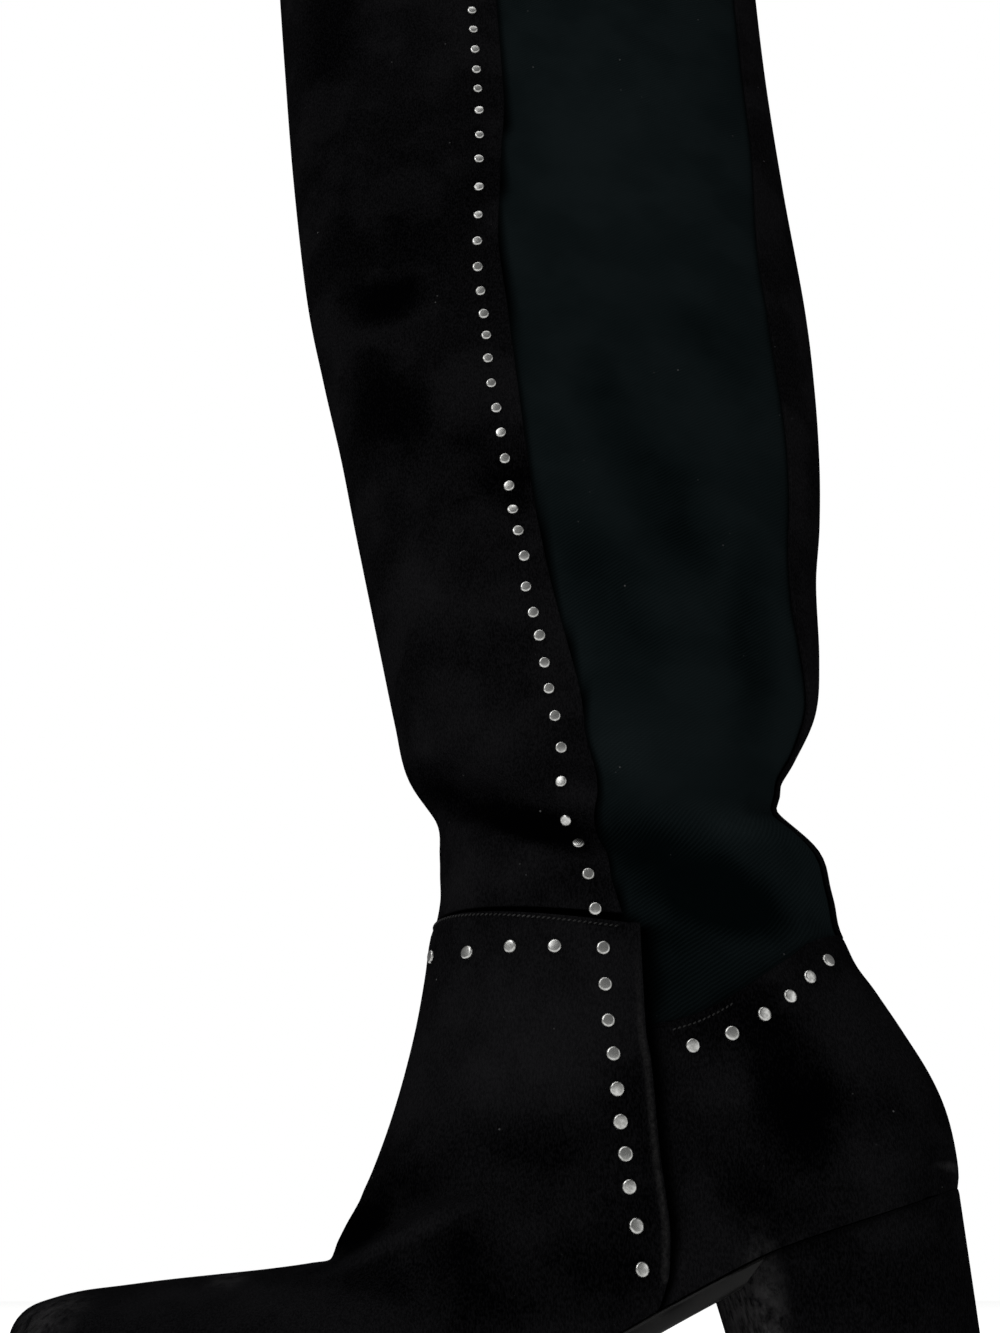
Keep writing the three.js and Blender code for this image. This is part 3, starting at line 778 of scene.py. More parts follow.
def ranged(tree, value, low, high, toLow=0.0, toHigh=1.0):
    ends = {"From Min": low, "From Max": high, "To Min": toLow, "To Max": toHigh}
    node = addNode(tree, "MapRange", {"Value": value, **ends}, interpolation_type="SMOOTHSTEP")
    return node.outputs["Result"]


def noise(tree, vector, scale, detail=2.0, roughness=0.5):
    look = {"Scale": scale, "Detail": detail, "Roughness": roughness}
    return addNode(tree, "TexNoise", {"Vector": vector, **look}).outputs["Fac"]


def makeNap():
    # suede nap: fine fibres, brushed patches some centimetres wide, and their height
    group, vector, fibre = newGroup("suedeNap", "Fibre", 2600.0)
    stretch = addNode(group, "Mapping", {"Vector": vector, "Scale": (1.0, 1.0, 0.45)})
    fine = noise(group, stretch.outputs[0], fibre, 3.0)
    grain = noise(group, vector, 700.0, 2.0)
    patches = noise(group, vector, 38.0, 3.0, 0.55)
    height = math2(group, "ADD", math2(group, "MULTIPLY", grain, 0.6), fine)
    return endGroup(group, Brushed=ranged(group, patches, 0.35, 0.68), Fine=fine, Height=height)


def makeKnit():
    # fine stretch knit: slanted courses crossed by ribs, on the shell's own map in metres
    group, vector, course = newGroup("stretchKnit", "Course", 1150.0)
    turned = addNode(group, "Mapping", {"Vector": vector, "Rotation": (0, 0, math.radians(32))})
    slanted, plain = [
        math2(group, "MULTIPLY", addNode(group, "SeparateXYZ", {"Vector": source}).outputs["Y"], course)
        for source in (turned.outputs[0], vector)
    ]
    warp = math2(group, "MULTIPLY", noise(group, vector, 220.0, 2.0), 0.9)
    wobble = math2(group, "ADD", slanted, warp)
    rib = math2(group, "SINE", math2(group, "MULTIPLY", wobble, 2 * math.pi), 0)
    row = math2(group, "SINE", math2(group, "MULTIPLY", plain, 2 * math.pi * 1.7), 0)
    height = math2(group, "ADD", math2(group, "MULTIPLY", rib, 0.6), math2(group, "MULTIPLY", row, 0.4))
    clouds = ranged(group, noise(group, vector, 45.0, 3.0), 0.3, 0.7)
    return endGroup(group, Rib=ranged(group, rib, -0.6, 0.9), Shade=clouds, Height=height)


def makeDust():
    # specks of lint and a thin film of dust
    group, vector, amount = newGroup("lintDust", "Amount", 0.5)
    cells = addNode(group, "TexVoronoi", {"Vector": vector, "Scale": 260.0})
    near = ranged(group, cells.outputs["Distance"], 0.09, 0.03)
    rare = ranged(group, noise(group, vector, 130.0, 1.0), 0.62, 0.72)
    speck = math2(group, "MULTIPLY", math2(group, "MULTIPLY", near, rare), amount)
    film = ranged(group, noise(group, vector, 60.0, 5.0, 0.65), 0.42, 0.75)
    return endGroup(group, Speck=speck, Film=math2(group, "MULTIPLY", film, amount))


nap, knitGroup, dust = makeNap(), makeKnit(), makeDust()


def useGroup(tree, group, vector, **values):
    node = tree.nodes.new("ShaderNodeGroup")
    node.node_tree = group
    setInputs(tree, node, {"Vector": vector, **values})
    return node


def mixColour(tree, factor, a, b):
    # a mix node's colours are its inputs 6 and 7, and their mix is output 2
    return addNode(tree, "Mix", {0: factor, 6: a, 7: b}, data_type="RGBA").outputs[2]


def bump(tree, height, strength, distance):
    inputs = {"Height": height, "Strength": strength, "Distance": distance * mm}
    return addNode(tree, "Bump", inputs).outputs["Normal"]


def placeOf(tree):
    return addNode(tree, "TexCoord", {}).outputs["Object"]


# Each cloth's colours, the share of the lit one where no patch changes it, how far the pattern's
# outputs change that share (output, its low and high end, spread), its dust, roughness and bump.
cloths = {
    "suede": {
        # the deep colour is also what the painted shade in folds and hollows draws towards
        "deep": (0.0003, 0.0003, 0.0004),  # nap brushed away from the eye
        "lit": (0.0054, 0.0053, 0.0058),
        "even": 0.42,
        "spreads": [("Brushed", 0.0, 1.0, 0.13), ("Fine", 0.3, 0.7, 0.22)],
        "dust": 0.5,
        "rough": ("Fine", 0.2, 0.8, 0.9, 1.0),
        "bump": (0.6, 0.3),
    },
    "knit": {
        "deep": (0.0005, 0.0011, 0.0012),
        "lit": (0.0053, 0.0075, 0.0081),
        "even": 0.5,
        "spreads": [("Rib", 0.0, 1.0, 0.1), ("Shade", 0.0, 1.0, 0.08)],
        "dust": 0.45,
        "rough": ("Rib", 0.0, 1.0, 0.95, 0.8),
        "bump": (0.25, 0.07),
    },
}
markColours = {
    # lighter places: real scuffs with painted sheen
    "scuffAndSheen": (0.024, 0.0235, 0.024),
    "lint": (0.1, 0.1, 0.1),
    # painted highlight along the vamp's rear fold, lighter than the suede
    "wearAndHighlight": (0.0115, 0.0112, 0.0112),  # along the vamp's rear fold
    # painted shade, near black, in the gaps behind and under the panels' edges
    "gap": (0.0001, 0.0001, 0.0001),
}
# brushed nap and painted light and shade on a panel: middle and half size in X and Z, lean in degrees,
# strength; below zero darker, from nap that lies dark and from painted shade in folds and hollows;
# above zero lighter, partly a painted highlight on a ridge
shaftNapAndShading = [
    ((-36, 311), (12, 8), -8, -0.6), ((-34, 272), (12, 22), 15, -0.3), ((-58, 430), (10, 60), 0, -0.2),
    ((-20, 352), (40, 30), 0, -0.1), ((-22, 216), (10, 14), 0, 0.16), ((-6, 166), (22, 7), -8, 0.16),
    ((-1, 147), (20, 5), -27, -0.55), ((14, 141), (14, 6), -12, -0.5), ((-7, 131), (12, 7), 0, 0.2),
    ((-19, 160), (10, 4), -32, -0.4), ((-10, 250), (22, 16), 0, -0.2),
    ((4, 242), (14, 9), -25, -0.25), ((14, 124), (14, 6), 0, -0.12), ((-40, 330), (20, 40), 0, -0.12),
]
vampNapAndShading = [
    ((2, 96), (26, 18), 0, 0.26), ((-3, 76), (24, 10), 0, 0.24), ((2, 58), (32, 12), 8, -0.16),
    ((-26, 42.5), (17, 1.8), 23, 0.3), ((-35, 46), (8, 4), 30, -0.6), ((-26, 53), (14, 5), 30, -0.2),
    ((2, 34), (34, 9), 0, -0.26), ((-10, 44), (9, 5), 10, -0.26),
    ((-80, 30), (34, 8), 0, 0.18), ((28, 60), (8, 24), 0, -0.14),
]
heelNapAndShading = [
    ((70, 77), (11, 19), 12, -0.5), ((55, 92), (14, 10), 20, -0.2), ((57, 52), (10, 8), -20, -0.2),
    ((84, 36), (26, 22), 0, -0.06), ((100, 70), (12, 26), 8, -0.08), ((88, 62), (14, 8), 0, 0.1),
]
knitNapAndShading = [
    ((44, 132), (26, 11), -24, -0.5), ((58, 122), (16, 9), -20, -0.4), ((40, 118), (20, 9), 0, -0.26),
    ((46, 100), (24, 14), 0, -0.34), ((62, 300), (24, 10), -30, -0.16), ((46, 240), (12, 24), 30, -0.3),
    ((32, 270), (10, 18), 20, -0.2), ((28, 208), (12, 24), 30, -0.24), ((70, 200), (8, 26), 0, -0.28),
    ((36, 380), (26, 50), 0, 0.14), ((60, 146), (9, 6), 0, 0.2), ((36, 165), (24, 12), -15, 0.16),
]


def ovalDistance(tree, where, middle, half, lean=0.0):
    # 0 at an oval's middle and 1 at its edge
    mapping = addNode(tree, "Mapping", {
        "Vector": where,
        "Location": [v * mm for v in middle],
        "Rotation": (0, -math.radians(lean), 0),
        "Scale": [v * mm for v in half],
    }, vector_type="TEXTURE")
    return addNode(tree, "VectorMath", {0: mapping.outputs[0]}, operation="LENGTH").outputs["Value"]


def patchSum(tree, where, patches):
    total = None
    for (x, z), (long, high), lean, strength in patches:
        away = ovalDistance(tree, where, (x, 0, z), (long, 1e6, high), lean)
        near = ranged(tree, away, 0.25, 1.5, strength, 0.0)
        total = near if total is None else math2(tree, "ADD", total, near)
    return total


def markMask(tree, label):
    return addNode(tree, "Attribute", {}, attribute_name=label).outputs["Fac"]


def makeCloth(name, kind, patches, scuffsAndSheen=()):
    # the lighter places: middle and half size in millimetres, and strength, of each; partly real scuffs,
    # partly painted sheen where a rounded corner or the toe catches light
    look = cloths[kind]
    material, tree, shader = newMaterial(name)
    where = placeOf(tree)
    if kind == "knit":
        pattern = useGroup(tree, knitGroup, addNode(tree, "UVMap", {}).outputs["UV"]).outputs
    else:
        pattern = useGroup(tree, nap, where).outputs
    first, second = [
        ranged(tree, pattern[label], low, high, -spread, spread)
        for label, low, high, spread in look["spreads"]
    ]
    # the patches paint light and shade into the cloth's colour, besides the nap's own tone
    share = math2(tree, "ADD", patchSum(tree, where, patches), look["even"])
    share = math2(tree, "ADD", math2(tree, "ADD", share, first), second, True)
    colour = mixColour(tree, share, look["deep"], look["lit"])
    if kind == "suede":
        # a painted highlight along the vamp's rear fold, broken up by noise, read from its mark
        patchy = ranged(tree, noise(tree, where, 900.0, 4.0, 0.7), 0.35, 0.7, 0.25, 0.9)
        wearAndHighlight = math2(tree, "MULTIPLY", markMask(tree, "edgeWear"), patchy)
        colour = mixColour(tree, wearAndHighlight, colour, markColours["wearAndHighlight"])
    # each lighter place: real scuffing and painted sheen
    for middle, size, strength in scuffsAndSheen:
        near = ranged(tree, ovalDistance(tree, where, middle, size), 1.0, 0.2)
        broken = ranged(tree, noise(tree, where, 300.0, 5.0, 0.7), 0.3, 0.66)
        mask = math2(tree, "MULTIPLY", math2(tree, "MULTIPLY", near, broken), strength)
        colour = mixColour(tree, mask, colour, markColours["scuffAndSheen"])
    lint = useGroup(tree, dust, where, Amount=look["dust"]).outputs["Speck"]
    colour = mixColour(tree, lint, colour, markColours["lint"])
    output, *ends = look["rough"]
    setInputs(tree, shader, {
        # the gapShade mark paints shade into the colour in the gaps beside and under the panels' edges
        "Base Color": mixColour(tree, markMask(tree, "gapShade"), colour, markColours["gap"]),
        "Roughness": ranged(tree, pattern[output], *ends),
        "Specular IOR Level": 0.0,
        "Normal": bump(tree, pattern["Height"], *look["bump"]),
    })
    return material


# colour under a film of dust, the film's colour, roughness clean and dusty, the grain's scale and
# bump, and specular
plainLooks = {
    "lining": dict(clean=(0.02, 0.019, 0.018), film=(0.04, 0.038, 0.035), rough=(0.85, 0.95),
                   grain=1500.0, bump=0.3, specular=0.2),
    "soleRubber": dict(clean=(0.0012, 0.0012, 0.0012), film=(0.008, 0.0076, 0.0073), rough=(0.45, 0.75),
                       grain=500.0, bump=0.25, specular=0.1),
    "thread": dict(clean=(0.002, 0.002, 0.002), film=(0.018, 0.018, 0.018), rough=(0.6, 0.8),
                   grain=2500.0, bump=0.2, specular=0.15),
}


def makePlain(name):
    look = plainLooks[name]
    material, tree, shader = newMaterial(name)
    where = placeOf(tree)
    film = useGroup(tree, dust, where, Amount=0.8).outputs["Film"]
    setInputs(tree, shader, {
        "Base Color": mixColour(tree, film, look["clean"], look["film"]),
        "Roughness": ranged(tree, film, 0.0, 0.8, *look["rough"]),
        "Specular IOR Level": look["specular"],
        "Normal": bump(tree, noise(tree, where, look["grain"], 4.0), look["bump"], 0.2),
    })
    return material


studLook = {"bright": (0.36, 0.36, 0.35), "dull": (0.22, 0.22, 0.21), "rough": (0.24, 0.4)}


def makeStudMetal():
    material, tree, shader = newMaterial("studMetal", Metallic=1.0)
    wearAndHighlight = noise(tree, placeOf(tree), 900.0, 4.0, 0.6)
    bare = ranged(tree, wearAndHighlight, 0.35, 0.7)
    setInputs(tree, shader, {
        "Base Color": mixColour(tree, bare, studLook["bright"], studLook["dull"]),
        "Roughness": ranged(tree, wearAndHighlight, 0.3, 0.75, *studLook["rough"]),
        "Normal": bump(tree, wearAndHighlight, 0.12, 0.06),
    })
    return material


suede = makeCloth("suede", "suede", shaftNapAndShading)
vampSuede = makeCloth("vampSuede", "suede", vampNapAndShading, [
    # on the toe: real scuffs and painted sheen
    ((-104, -14, 26), (16, 18, 10), 0.5),
    ((-64, -14, 34), (7, 12, 5), 0.34),
])
heelSuede = makeCloth("heelSuede", "suede", heelNapAndShading, [
    # the heel's rounded front corner: real scuffing and a painted sheen down it
    ((58, -10, 22), (9, 44, 34), 1.0),
    ((109, -8, 60.5), (8, 22, 2), 0.5),
])
knit = makeCloth("stretchKnit", "knit", knitNapAndShading)
lining, soleRubber, thread = [makePlain(name) for name in plainLooks]
studMetal = makeStudMetal()
print("materials ready")

# the knit shell under everything
knitShell = {"rowStep": 2.6, "columns": 130}


def makeUpper():
    places = spread(0, tipPlace, knitShell["rowStep"], stops=(seatPlace,))
    reach = trimTurn(places)
    half = []
    for side in (-1, 1):
        turns = reach[:, None] * np.linspace(0, 1, knitShell["columns"] // 2 + 1) * side
        turns = turns if side > 0 else turns[:, ::-1]
        points = layer(places[:, None], turns)
        shade = gapShade(places[:, None], turns)
        half.append(gridPiece("upperHalf", points, surfaceUv(points), gapShade=shade))
    piece = join("upperKnit", half)
    merge(piece)
    piece.data.materials.append(knit)
    piece.data.materials.append(lining)
    thicken(piece, layers["wall"], edge=0, material_offset=1, material_offset_rim=0)
    return finish(piece, None, "stretch_knit", "upper")


makeUpper()

# suede panels
panels = {
    "rowStep": 2.0,
    "topStep": 0.5,
    "columns": {"shaft": 56, "vamp": 84, "counter": 44, "strip": 10},
    "foldWidth": 2.3,
    "folds": {"shaft": 0.25, "vampRear": 0.8, "vampTop": 0.2, "counter": 0.3, "strip": 0.15},
    "counterDip": 0.9,
    "bottomGap": 0.24,  # places between the shaft's panel and the vamp's top edge
    "soleTurn": (26.5, 26.75),  # places where the vamp's rear edge runs into the sole line
}
# a painted highlight along the vamp's rear fold, where the raised fold catches the light: its distance
# from the edge, its width, and the height at which it ends, fading over so many millimetres
foldHighlightLine = {"inset": 1.1, "width": 0.6, "top": 108, "over": 20}


def panelLift(distance, high):
    # a turned edge: a rounded rise beside the rim
    t = np.clip(distance / panels["foldWidth"], 0, 1)
    return panelTop + high * (1 - t * t * (3 - 2 * t))


def closeRows(places, top):
    # extra rows beside a panel's folded top edge
    speed = np.linalg.norm(skin(top + 0.05, 0.3) - skin(top, 0.3)) / 0.05
    return merged(places, top + panels["topStep"] * np.arange(1, 6) / speed)


def makeShaftFront():
    places = closeRows(spread(0, vampTop - panels["bottomGap"], panels["rowStep"]), 0)
    edge = turnAt(frontEdge(places))
    turns = turnsBetween(places, -edge, edge, panels["columns"]["shaft"])
    grid = bowed(places[:, None], turns)
    away = np.minimum(edgeDistance(places, turns, edge, -edge), topDistance(grid, turns, 0))
    points = layer(grid, turns, panelLift(away, panels["folds"]["shaft"]))
    piece = gridPiece("shaftFrontSuede", points, surfaceUv(points))
    thicken(piece, layers["panel"])
    return finish(piece, suede, "suede", "shaft_front")


def makeVamp():
    places = spread(vampTop, tipPlace, panels["rowStep"], stops=panels["soleTurn"])
    places = closeRows(places, vampTop)
    edge = np.minimum(turnAt(frontEdge(places)), trimTurn(places))
    turns = turnsBetween(places, -edge, edge, panels["columns"]["vamp"])
    grid = bowed(places[:, None], turns)
    rear = edgeDistance(places, turns, edge, -edge)
    rear = rear + 40 * np.clip((places - 26.2) / 1.4, 0, 1)[:, None]  # no fold along the sole
    fromTop = topDistance(grid, turns, bowed(np.full_like(turns, vampTop), turns))
    folds = panels["folds"]
    lift = np.maximum(panelLift(rear, folds["vampRear"]), panelLift(fromTop, folds["vampTop"]))
    points = layer(grid, turns, lift)
    # the painted highlight: a thin band just inside the vamp's rear edge, fading out towards its top
    wearAndHighlight = np.exp(-((rear - foldHighlightLine["inset"]) / foldHighlightLine["width"]) ** 2)
    wearAndHighlight = wearAndHighlight * np.clip((foldHighlightLine["top"] - points[..., 2]) / foldHighlightLine["over"], 0, 1)
    piece = gridPiece("vampSuede", points, surfaceUv(points), edgeWear=wearAndHighlight)
    merge(piece, 0.01)
    thicken(piece, layers["panel"])
    return finish(piece, vampSuede, "suede", "vamp")


def backPanel(name, kind, places, frontShare, dip=0.0):
    # dip: how far the panel sinks beside and under the vamp's rear edge
    columns, high = panels["columns"][kind], panels["folds"][kind]
    halves = []
    reach = trimTurn(places)
    edge = np.minimum(turnAt(frontShare(places)), reach - 1e-4)
    for side in (1, -1):
        turns = side * turnsBetween(places, edge, reach, columns, endFold=False)
        turns = turns if side > 0 else turns[:, ::-1]
        away = edgeDistance(places, turns, side * edge)
        shade = gapShade(places[:, None], turns)
        points = layer(places[:, None], turns, panelLift(away, high) - dip * shade)
        halves.append(gridPiece(name + "Half", points, surfaceUv(points), gapShade=shade))
    piece = join(name, halves)
    merge(piece)
    thicken(piece, layers["panel"])
    return piece


def makeBackStrip():
    places = spread(0, counterTop - 0.05, panels["rowStep"])
    piece = backPanel("backStripSuede", "strip", places, stripEdge)
    return finish(piece, suede, "suede", "back_strip")


def counterShare(place):
    behind = frontEdge(place) + seamGap / depthAt(place)
    return np.where(place < counterCorner, np.maximum(behind, counterEdge(place)), behind)


def makeCounter():
    turnFrom, turnTo = panels["soleTurn"]
    places = spread(counterTop, turnTo, panels["rowStep"], stops=(seatPlace, counterCorner, turnFrom))
    places = merged(places, np.linspace(counterTop, counterCorner, 46))  # its curved top edge
    piece = backPanel("counterSuede", "counter", places, counterShare, panels["counterDip"])
    return finish(piece, heelSuede, "suede", "counter")


makeShaftFront()
makeVamp()
makeBackStrip()
makeCounter()
print("panels ready")

# sole, insole, heel and top piece
sole = {
    "endSet": 63.0,
    "endSlant": 6.5,  # how much further back the side reaches at its top
    "narrow": 0.075,  # how much slimmer it gets before the heel
    "narrowOver": 22.0,
    "stations": 90,
    # share of the width, reach, depth below the sole line
    "profile": [
        (0, 1.4, 0), (0.45, 1.4, 0), (0.85, 1.4, 0), (1, 1.4, 0), (1, 2.1, 0.18), (1, 2.5, 0.65),
        (1, 2.6, 1.3), (1, 2.6, 2.6), (1, 2.45, 3.5), (1, 2.0, 4.15), (1, 1.3, 4.5),
        (0.85, 1.3, 4.5), (0.45, 1.3, 4.5), (0, 1.3, 4.5),
    ],
}


def loopPiece(name, rings):
    # rings of one closed outline each, the first and last drawn together on their middle line
    closed = np.concatenate([rings, rings[:, :1]], axis=1)
    piece = gridPiece(name, closed)
    merge(piece, 0.005)
    editAll(piece, bpy.ops.mesh.normals_make_consistent, inside=False)
    return piece


def planRing(share, reach, x, z, slim=0.0):
    outer = -planHalf(x, -1.0, reach) * (1 - slim) + planShift(x)
    inner = planHalf(x, 1.0, reach) * (1 - slim) + planShift(x)
    middle = (outer + inner) / 2
    a = np.stack([x, middle + share * (outer - middle), z], axis=-1)
    b = np.stack([x, middle + share * (inner - middle), z], axis=-1)
    return np.concatenate([a, b[::-1]])


def makeOutsole():
    rings = []
    t = np.linspace(0, 1, sole["stations"])
    for share, reach, drop in sole["profile"]:
        end = heelBack - sole["endSet"] + sole["endSlant"] * (1 - drop / last["soleThickness"])
        tip = toeTip - reach
        x = tip + (end - tip) * (1 - np.cos(np.pi / 2 * t))
        slim = sole["narrow"] * np.clip((x - end) / sole["narrowOver"] + 1, 0, 1) ** 2
        rings.append(planRing(share, reach, x, soleTop(x) - drop, slim))
    piece = loopPiece("outsoleRubber", np.array(rings))
    return finish(piece, soleRubber, "sole_rubber", "outsole", angle=35)


insole = {
    "stations": 70,
    "heelRound": 0.17,  # share of the foot's length over which its end is round
    # share of the width, reach, height above the lasting margin
    "profile": [(0, -4, 2), (0.6, -4, 2), (1, -4, 2), (1, -4.2, 1.2), (1, -4.5, 0), (0, -4.5, 0)],
}


def makeInsole():
    rings = []
    t = np.linspace(0, 1, insole["stations"])
    base = layers["gap"] * 2 + layers["wall"]
    for share, reach, up in insole["profile"]:
        tip, end = toeTip - reach, heelBack + reach
        x = tip + (end - tip) * (1 - np.cos(np.pi * t)) / 2
        ring = planRing(share, reach, x, soleTop(x) + base + up)
        close = closing(end - x, insole["heelRound"] * last["footLength"], last["legBend"])
        ring[:, 1] *= np.concatenate([close, close[::-1]])
        rings.append(ring)
    piece = loopPiece("insoleSock", np.array(rings))
    return finish(piece, lining, "lining", "insole", angle=50)


heel = {
    "width": 57.0,
    "breastSet": 63.4,
    "breastSlant": 11.5,
    "out": 1.4,  # how much further back the foot of the heel stands than its top
    "backSet": -1.5,
    "corner": 8.0,
    "planTop": 0.85,  # the share of the seat's height up to which the plan changes
    "backShare": 0.62,  # of the depth, that the round back takes
    "backBend": 2.2,
    "tip": 5.0,
    # share of the plan, reach, share of the height
    "levels": [
        (0, 0, 0), (0.9, -0.5, 0), (1, -0.5, 0), (1, -0.15, 0.008), (1, 0, 0.025),
        *[(1, 0, share) for share in np.linspace(0.06, 0.97, 14)],
        (1, -0.1, 0.985), (1, -0.45, 1), (0.9, -0.45, 1), (0, -0.45, 1),
    ],
    # share of the plan, reach, height
    "tipLevels": [
        (0, -0.6, 5), (1, -0.6, 5), (1, -0.25, 4.8), (1, -0.2, 4), (1, -0.2, 0.7), (1, -0.6, 0),
        (0.8, -0.6, 0), (0, -0.6, 0),
    ],
}


def heelOutline(z, reach=0.0):
    # one closed ring: the front left corner, round the back, and the front right corner
    down = np.clip(1 - z / last["seatHeight"], 0, 1)
    front = heelBack - heel["breastSet"] + heel["breastSlant"] * down - reach
    back = heelBack + heel["backSet"] + heel["out"] * down + reach
    half = heel["width"] / 2 + reach
    corner = heel["corner"]
    turn = np.linspace(0, np.pi / 2, 9)
    cornerX = front + corner - corner * np.cos(turn)
    cornerY = half - corner + corner * np.sin(turn)
    curve = heel["backShare"] * (back - front)
    side = np.linspace(front + corner, back - curve, 14)[1:-1]
    t = np.linspace(0, np.pi, 61)
    backX = back - curve + curve * np.sin(t) ** (2 / heel["backBend"])
    backY = -half * np.sign(np.cos(t)) * np.abs(np.cos(t)) ** (2 / heel["backBend"])
    breast = np.linspace(half - corner, corner - half, 14)[1:-1]
    x = np.concatenate([cornerX, side, backX, side[::-1], cornerX[::-1], np.full(len(breast), front)])
    y = np.concatenate([-cornerY, np.full(len(side), -half), backY, np.full(len(side), half),
                        cornerY[::-1], breast])
    return x, y


def makeHeelBlock():
    # its top comes up to the seat, and its front edge meets the end of the sole
    rings = []
    low = heel["tip"] + layers["gap"]
    for share, reach, up in heel["levels"]:
        x, y = heelOutline(low + up * (heel["planTop"] * last["seatHeight"] - low), reach)
        z = low + up * (soleTop(x) - low)
        rings.append(np.stack([x, y * share, z], axis=-1))
    piece = loopPiece("heelBlockSuede", np.array(rings))
    return finish(piece, heelSuede, "suede", "heel_block", angle=50)


def makeTopPiece():
    rings = []
    for share, reach, z in heel["tipLevels"]:
        x, y = heelOutline(z, reach)
        rings.append(np.stack([x, y * share, np.full(len(x), float(z))], axis=-1))
    piece = loopPiece("topPieceRubber", np.array(rings))
    return finish(piece, soleRubber, "sole_rubber", "top_piece", angle=50)


makeOutsole()
makeInsole()
makeHeelBlock()
makeTopPiece()
print("sole and heel ready")

# studs
studs = {
    "radius": 1.76,
    "rise": 0.85,
    "lip": 0.34,  # the rounded rim, as a share of the radius
    "sunk": 0.15,
    "sizeSpread": 0.04,  # how unlike each other they are
    "tiltSpread": 0.1,  # and how askew they were hammered in
    "seed": 5,
}
# The studs on the outer side, and their mirror image on the inner one, by place and turn. Down the
# shaft the rows are only a line, and steps are the millimetres from stud to stud upwards.
studRows = {
    "shaft": dict(
        size=0.91,
        line=[(15.66, 0.409), (14.62, 0.4), (13.5, 0.395), (12.5, 0.389), (11.4, 0.383), (10.3, 0.404),
              (9.65, 0.404), (9.1, 0.393), (8.3, 0.389), (7.6, 0.38), (7.3, 0.385), (6.6, 0.378),
              (5.4, 0.375), (4.7, 0.373), (4.1, 0.379), (3.3, 0.384), (2.5, 0.403), (1.9, 0.416),
              (1.1, 0.421), (0.03, 0.424)],
        steps=[9.2, 10.4, 7.3, 9.4, 10.8, 8.9, 7.9, 7.5, 8, 7.1, 8.4, 9.3, 8, 7.5, 7.9, 8.5, 8.8, 8.6,
               8.9, 9, 8.4, 7.9, 8.6, 9.2, 10.1, 10.4, 11.5, 11.7, 10.1, 10.5, 9.3, 8.4, 9, 9.1, 8.8,
               9, 9, 9, 9, 9, 9, 9]),
    "vampRear": dict(
        line=[(16.69, 0.412), (17.48, 0.408), (18.18, 0.408), (18.81, 0.412), (19.53, 0.417),
              (20.22, 0.424), (20.91, 0.434), (22.26, 0.447), (24.81, 0.527), (26.07, 0.659)]),
    "vampTop": dict(
        line=[(16.67, 0.343), (16.66, 0.272), (16.72, 0.187), (16.6, 0.06)]),
    "counter": dict(
        line=[(18.63, 0.507), (18.38, 0.557), (17.98, 0.606), (17.55, 0.654), (17.03, 0.705),
              (16.44, 0.773)]),
}


def alongLine(place, turn):
    line = layer(place, turn, panelTop)
    return np.concatenate([[0], np.cumsum(np.linalg.norm(np.diff(line, axis=0), axis=1))])


def pitched(place, turn, pitch, start=0.0):
    # even steps along a line on the panels, given as fine rows of places and turns
    run = alongLine(place, turn)
    at = np.arange(start, run[-1], pitch)
    return np.interp(at, run, place), np.interp(at, run, turn)


def studPlaces():
    places, turns, sizes = [], [], []
    for row in studRows.values():
        count = len(row["line"])
        place, turn = np.array(row["line"]).T
        if "steps" in row:
            fine = np.linspace(0, count - 1, 600)
            place, turn = through(range(count), place)(fine), through(range(count), turn)(fine)
            run = alongLine(place, turn)
            at = np.cumsum([0, *row["steps"]])
            at = at[at < run[-1]]
            place, turn = np.interp(at, run, place), np.interp(at, run, turn)
        places += [place, place]
        turns += [-turn, turn]
        sizes += [np.full(2 * len(place), row.get("size", 1.0))]
    return np.concatenate(places), np.concatenate(turns), np.concatenate(sizes)


def scatter(name, pattern, origins, axes):
    # copies of one small mesh, joined; axes holds the copy's own three axes
    points = pointsOf(pattern)
    faces = [tuple(face.vertices) for face in pattern.data.polygons]
    placed = np.einsum("pk,nkj->npj", points, axes) + origins[:, None, :] * mm
    count = len(points)
    allFaces = [tuple(v + i * count for v in face) for i in range(len(origins)) for face in faces]
    mesh = bpy.data.meshes.new(name)
    mesh.from_pydata(placed.reshape(-1, 3).tolist(), [], allFaces)
    mesh.update()
    piece = bpy.data.objects.new(name, mesh)
    bpy.context.collection.objects.link(piece)
    bpy.data.objects.remove(pattern, do_unlink=True)
    return piece


def studPattern():
    # a low round cap with a flat crown and a rounded rim, its foot a little under z = 0
    deselect()
    radius, rise = studs["radius"] * mm, studs["rise"] * mm
    bpy.ops.mesh.primitive_cylinder_add(vertices=24, radius=radius, depth=rise, location=(0, 0, 0))
    piece = bpy.context.object
    bpy.ops.object.mode_set(mode="EDIT")
    bpy.ops.mesh.select_all(action="DESELECT")
    bpy.ops.object.mode_set(mode="OBJECT")
    for face in piece.data.polygons:
        face.select = face.normal.z > 0.9
    bpy.ops.object.mode_set(mode="EDIT")
    bpy.ops.mesh.select_mode(type="FACE")
    bpy.ops.mesh.bevel(offset=studs["lip"] * radius, offset_type="OFFSET", segments=4, profile=0.5,
                       affect="EDGES")
    bpy.ops.object.mode_set(mode="OBJECT")
    movePoints(piece, pointsOf(piece) + np.array([0, 0, rise / 2 - studs["sunk"] * mm]))
    return piece


def framesAt(place, turn, lift):
    # where small pieces sit on the panels, and the three directions in which they stand
    def lifted(places, turns):
        return layer(places, turns, lift)

    centre = lifted(place, turn)
    normal = outwards(place, turn, lifted)
    across = unit(np.cross(normal, np.array([0.0, 0.0, 1.0])))
    up = np.cross(normal, across)
    return centre, np.stack([across, -up, normal], axis=1)


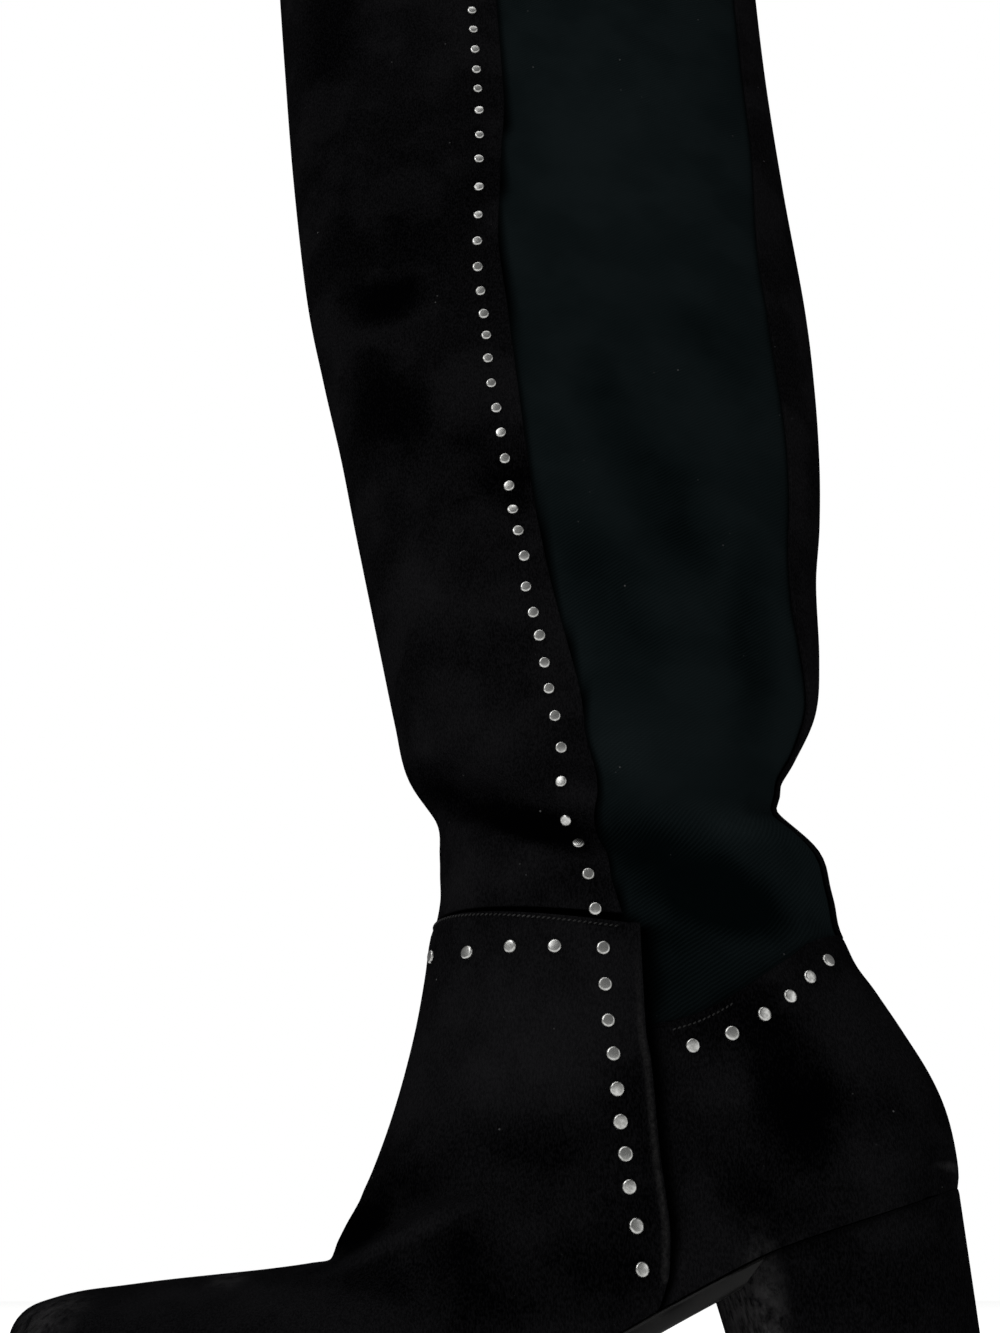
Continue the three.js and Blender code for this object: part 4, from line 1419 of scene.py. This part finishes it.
def makeStuds():
    place, turn, size = studPlaces()
    centre, axes = framesAt(place, turn, panelTop)
    uneven = np.random.default_rng(studs["seed"])
    size = size + uneven.uniform(-1, 1, len(size)) * studs["sizeSpread"]
    tilt = uneven.uniform(-1, 1, (len(size), 2)) * studs["tiltSpread"]
    axes[:, :2] += tilt[:, :, None] * axes[:, 2:]
    piece = scatter("studs", studPattern(), centre, axes * size[:, None, None])
    print(len(place), "studs")
    return finish(piece, studMetal, "stud_metal", angle=30)


makeStuds()

# stitches
stitches = {
    "pitch": 1.3,
    "start": 1.0,
    "ahead": 0.3,  # how far along the line each one looks for its direction
    "long": 0.58,
    "thick": 0.25,
    # places below the edge, share of the edge's turn, twist in degrees, lift
    "vampTop": dict(down=0.13, share=0.94, twist=30, lift=0.3),
    "counter": dict(down=0.14, places=(18.2, 17.6), twist=16, lift=-0.06),
}


def stitchPattern():
    deselect()
    bpy.ops.mesh.primitive_uv_sphere_add(segments=6, ring_count=4, radius=1)
    piece = bpy.context.object
    size = (stitches["long"] * mm, stitches["thick"] * mm, stitches["thick"] * mm)
    bpy.ops.transform.resize(value=size)
    bpy.ops.object.transform_apply(location=False, rotation=False, scale=True)
    return piece


def stitchLine(place, turn, twist, lift):
    pitch, start = stitches["pitch"], stitches["start"]
    at, turned = pitched(place, turn, pitch, start)
    ahead = layer(*pitched(place, turn, pitch, start + stitches["ahead"]), panelTop + lift)
    centre, axes = framesAt(at[:len(ahead)], turned[:len(ahead)], panelTop + lift)
    normal = axes[:, 2]
    along = unit(ahead - centre)
    across = np.cross(normal, along)
    angle = math.radians(twist)
    first = unit(along * math.cos(angle) + across * math.sin(angle))
    return centre, np.stack([first, np.cross(normal, first), normal], axis=1)


def makeStitches():
    row = stitches["vampTop"]
    edge = row["share"] * turnAt(frontEdge(vampTop))
    turn = np.linspace(-edge, edge, 300)
    line = bowed(vampTop + row["down"], turn)
    rows = [stitchLine(line, turn, row["twist"], row["lift"])]
    row = stitches["counter"]
    for side in (-1, 1):
        place = np.linspace(*row["places"], 60)
        turn = side * turnAt(counterEdge(place))
        rows.append(stitchLine(place + row["down"], turn, row["twist"], row["lift"]))
    centre = np.concatenate([row[0] for row in rows])
    axes = np.concatenate([row[1] for row in rows])
    piece = scatter("stitches", stitchPattern(), centre, axes)
    print(len(centre), "stitches")
    return finish(piece, thread, "suede", angle=60)


makeStitches()


# the last's own middle stands beside the middle of the whole boot
def centreAll():
    shift = np.array([last["centre"][0] * mm, last["centre"][1] * mm, 0], dtype=np.float32)
    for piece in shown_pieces():
        if piece.name not in frame["nodes"] and piece.type == "MESH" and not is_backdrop(piece):
            movePoints(piece, pointsOf(piece) + shift)


centreAll()
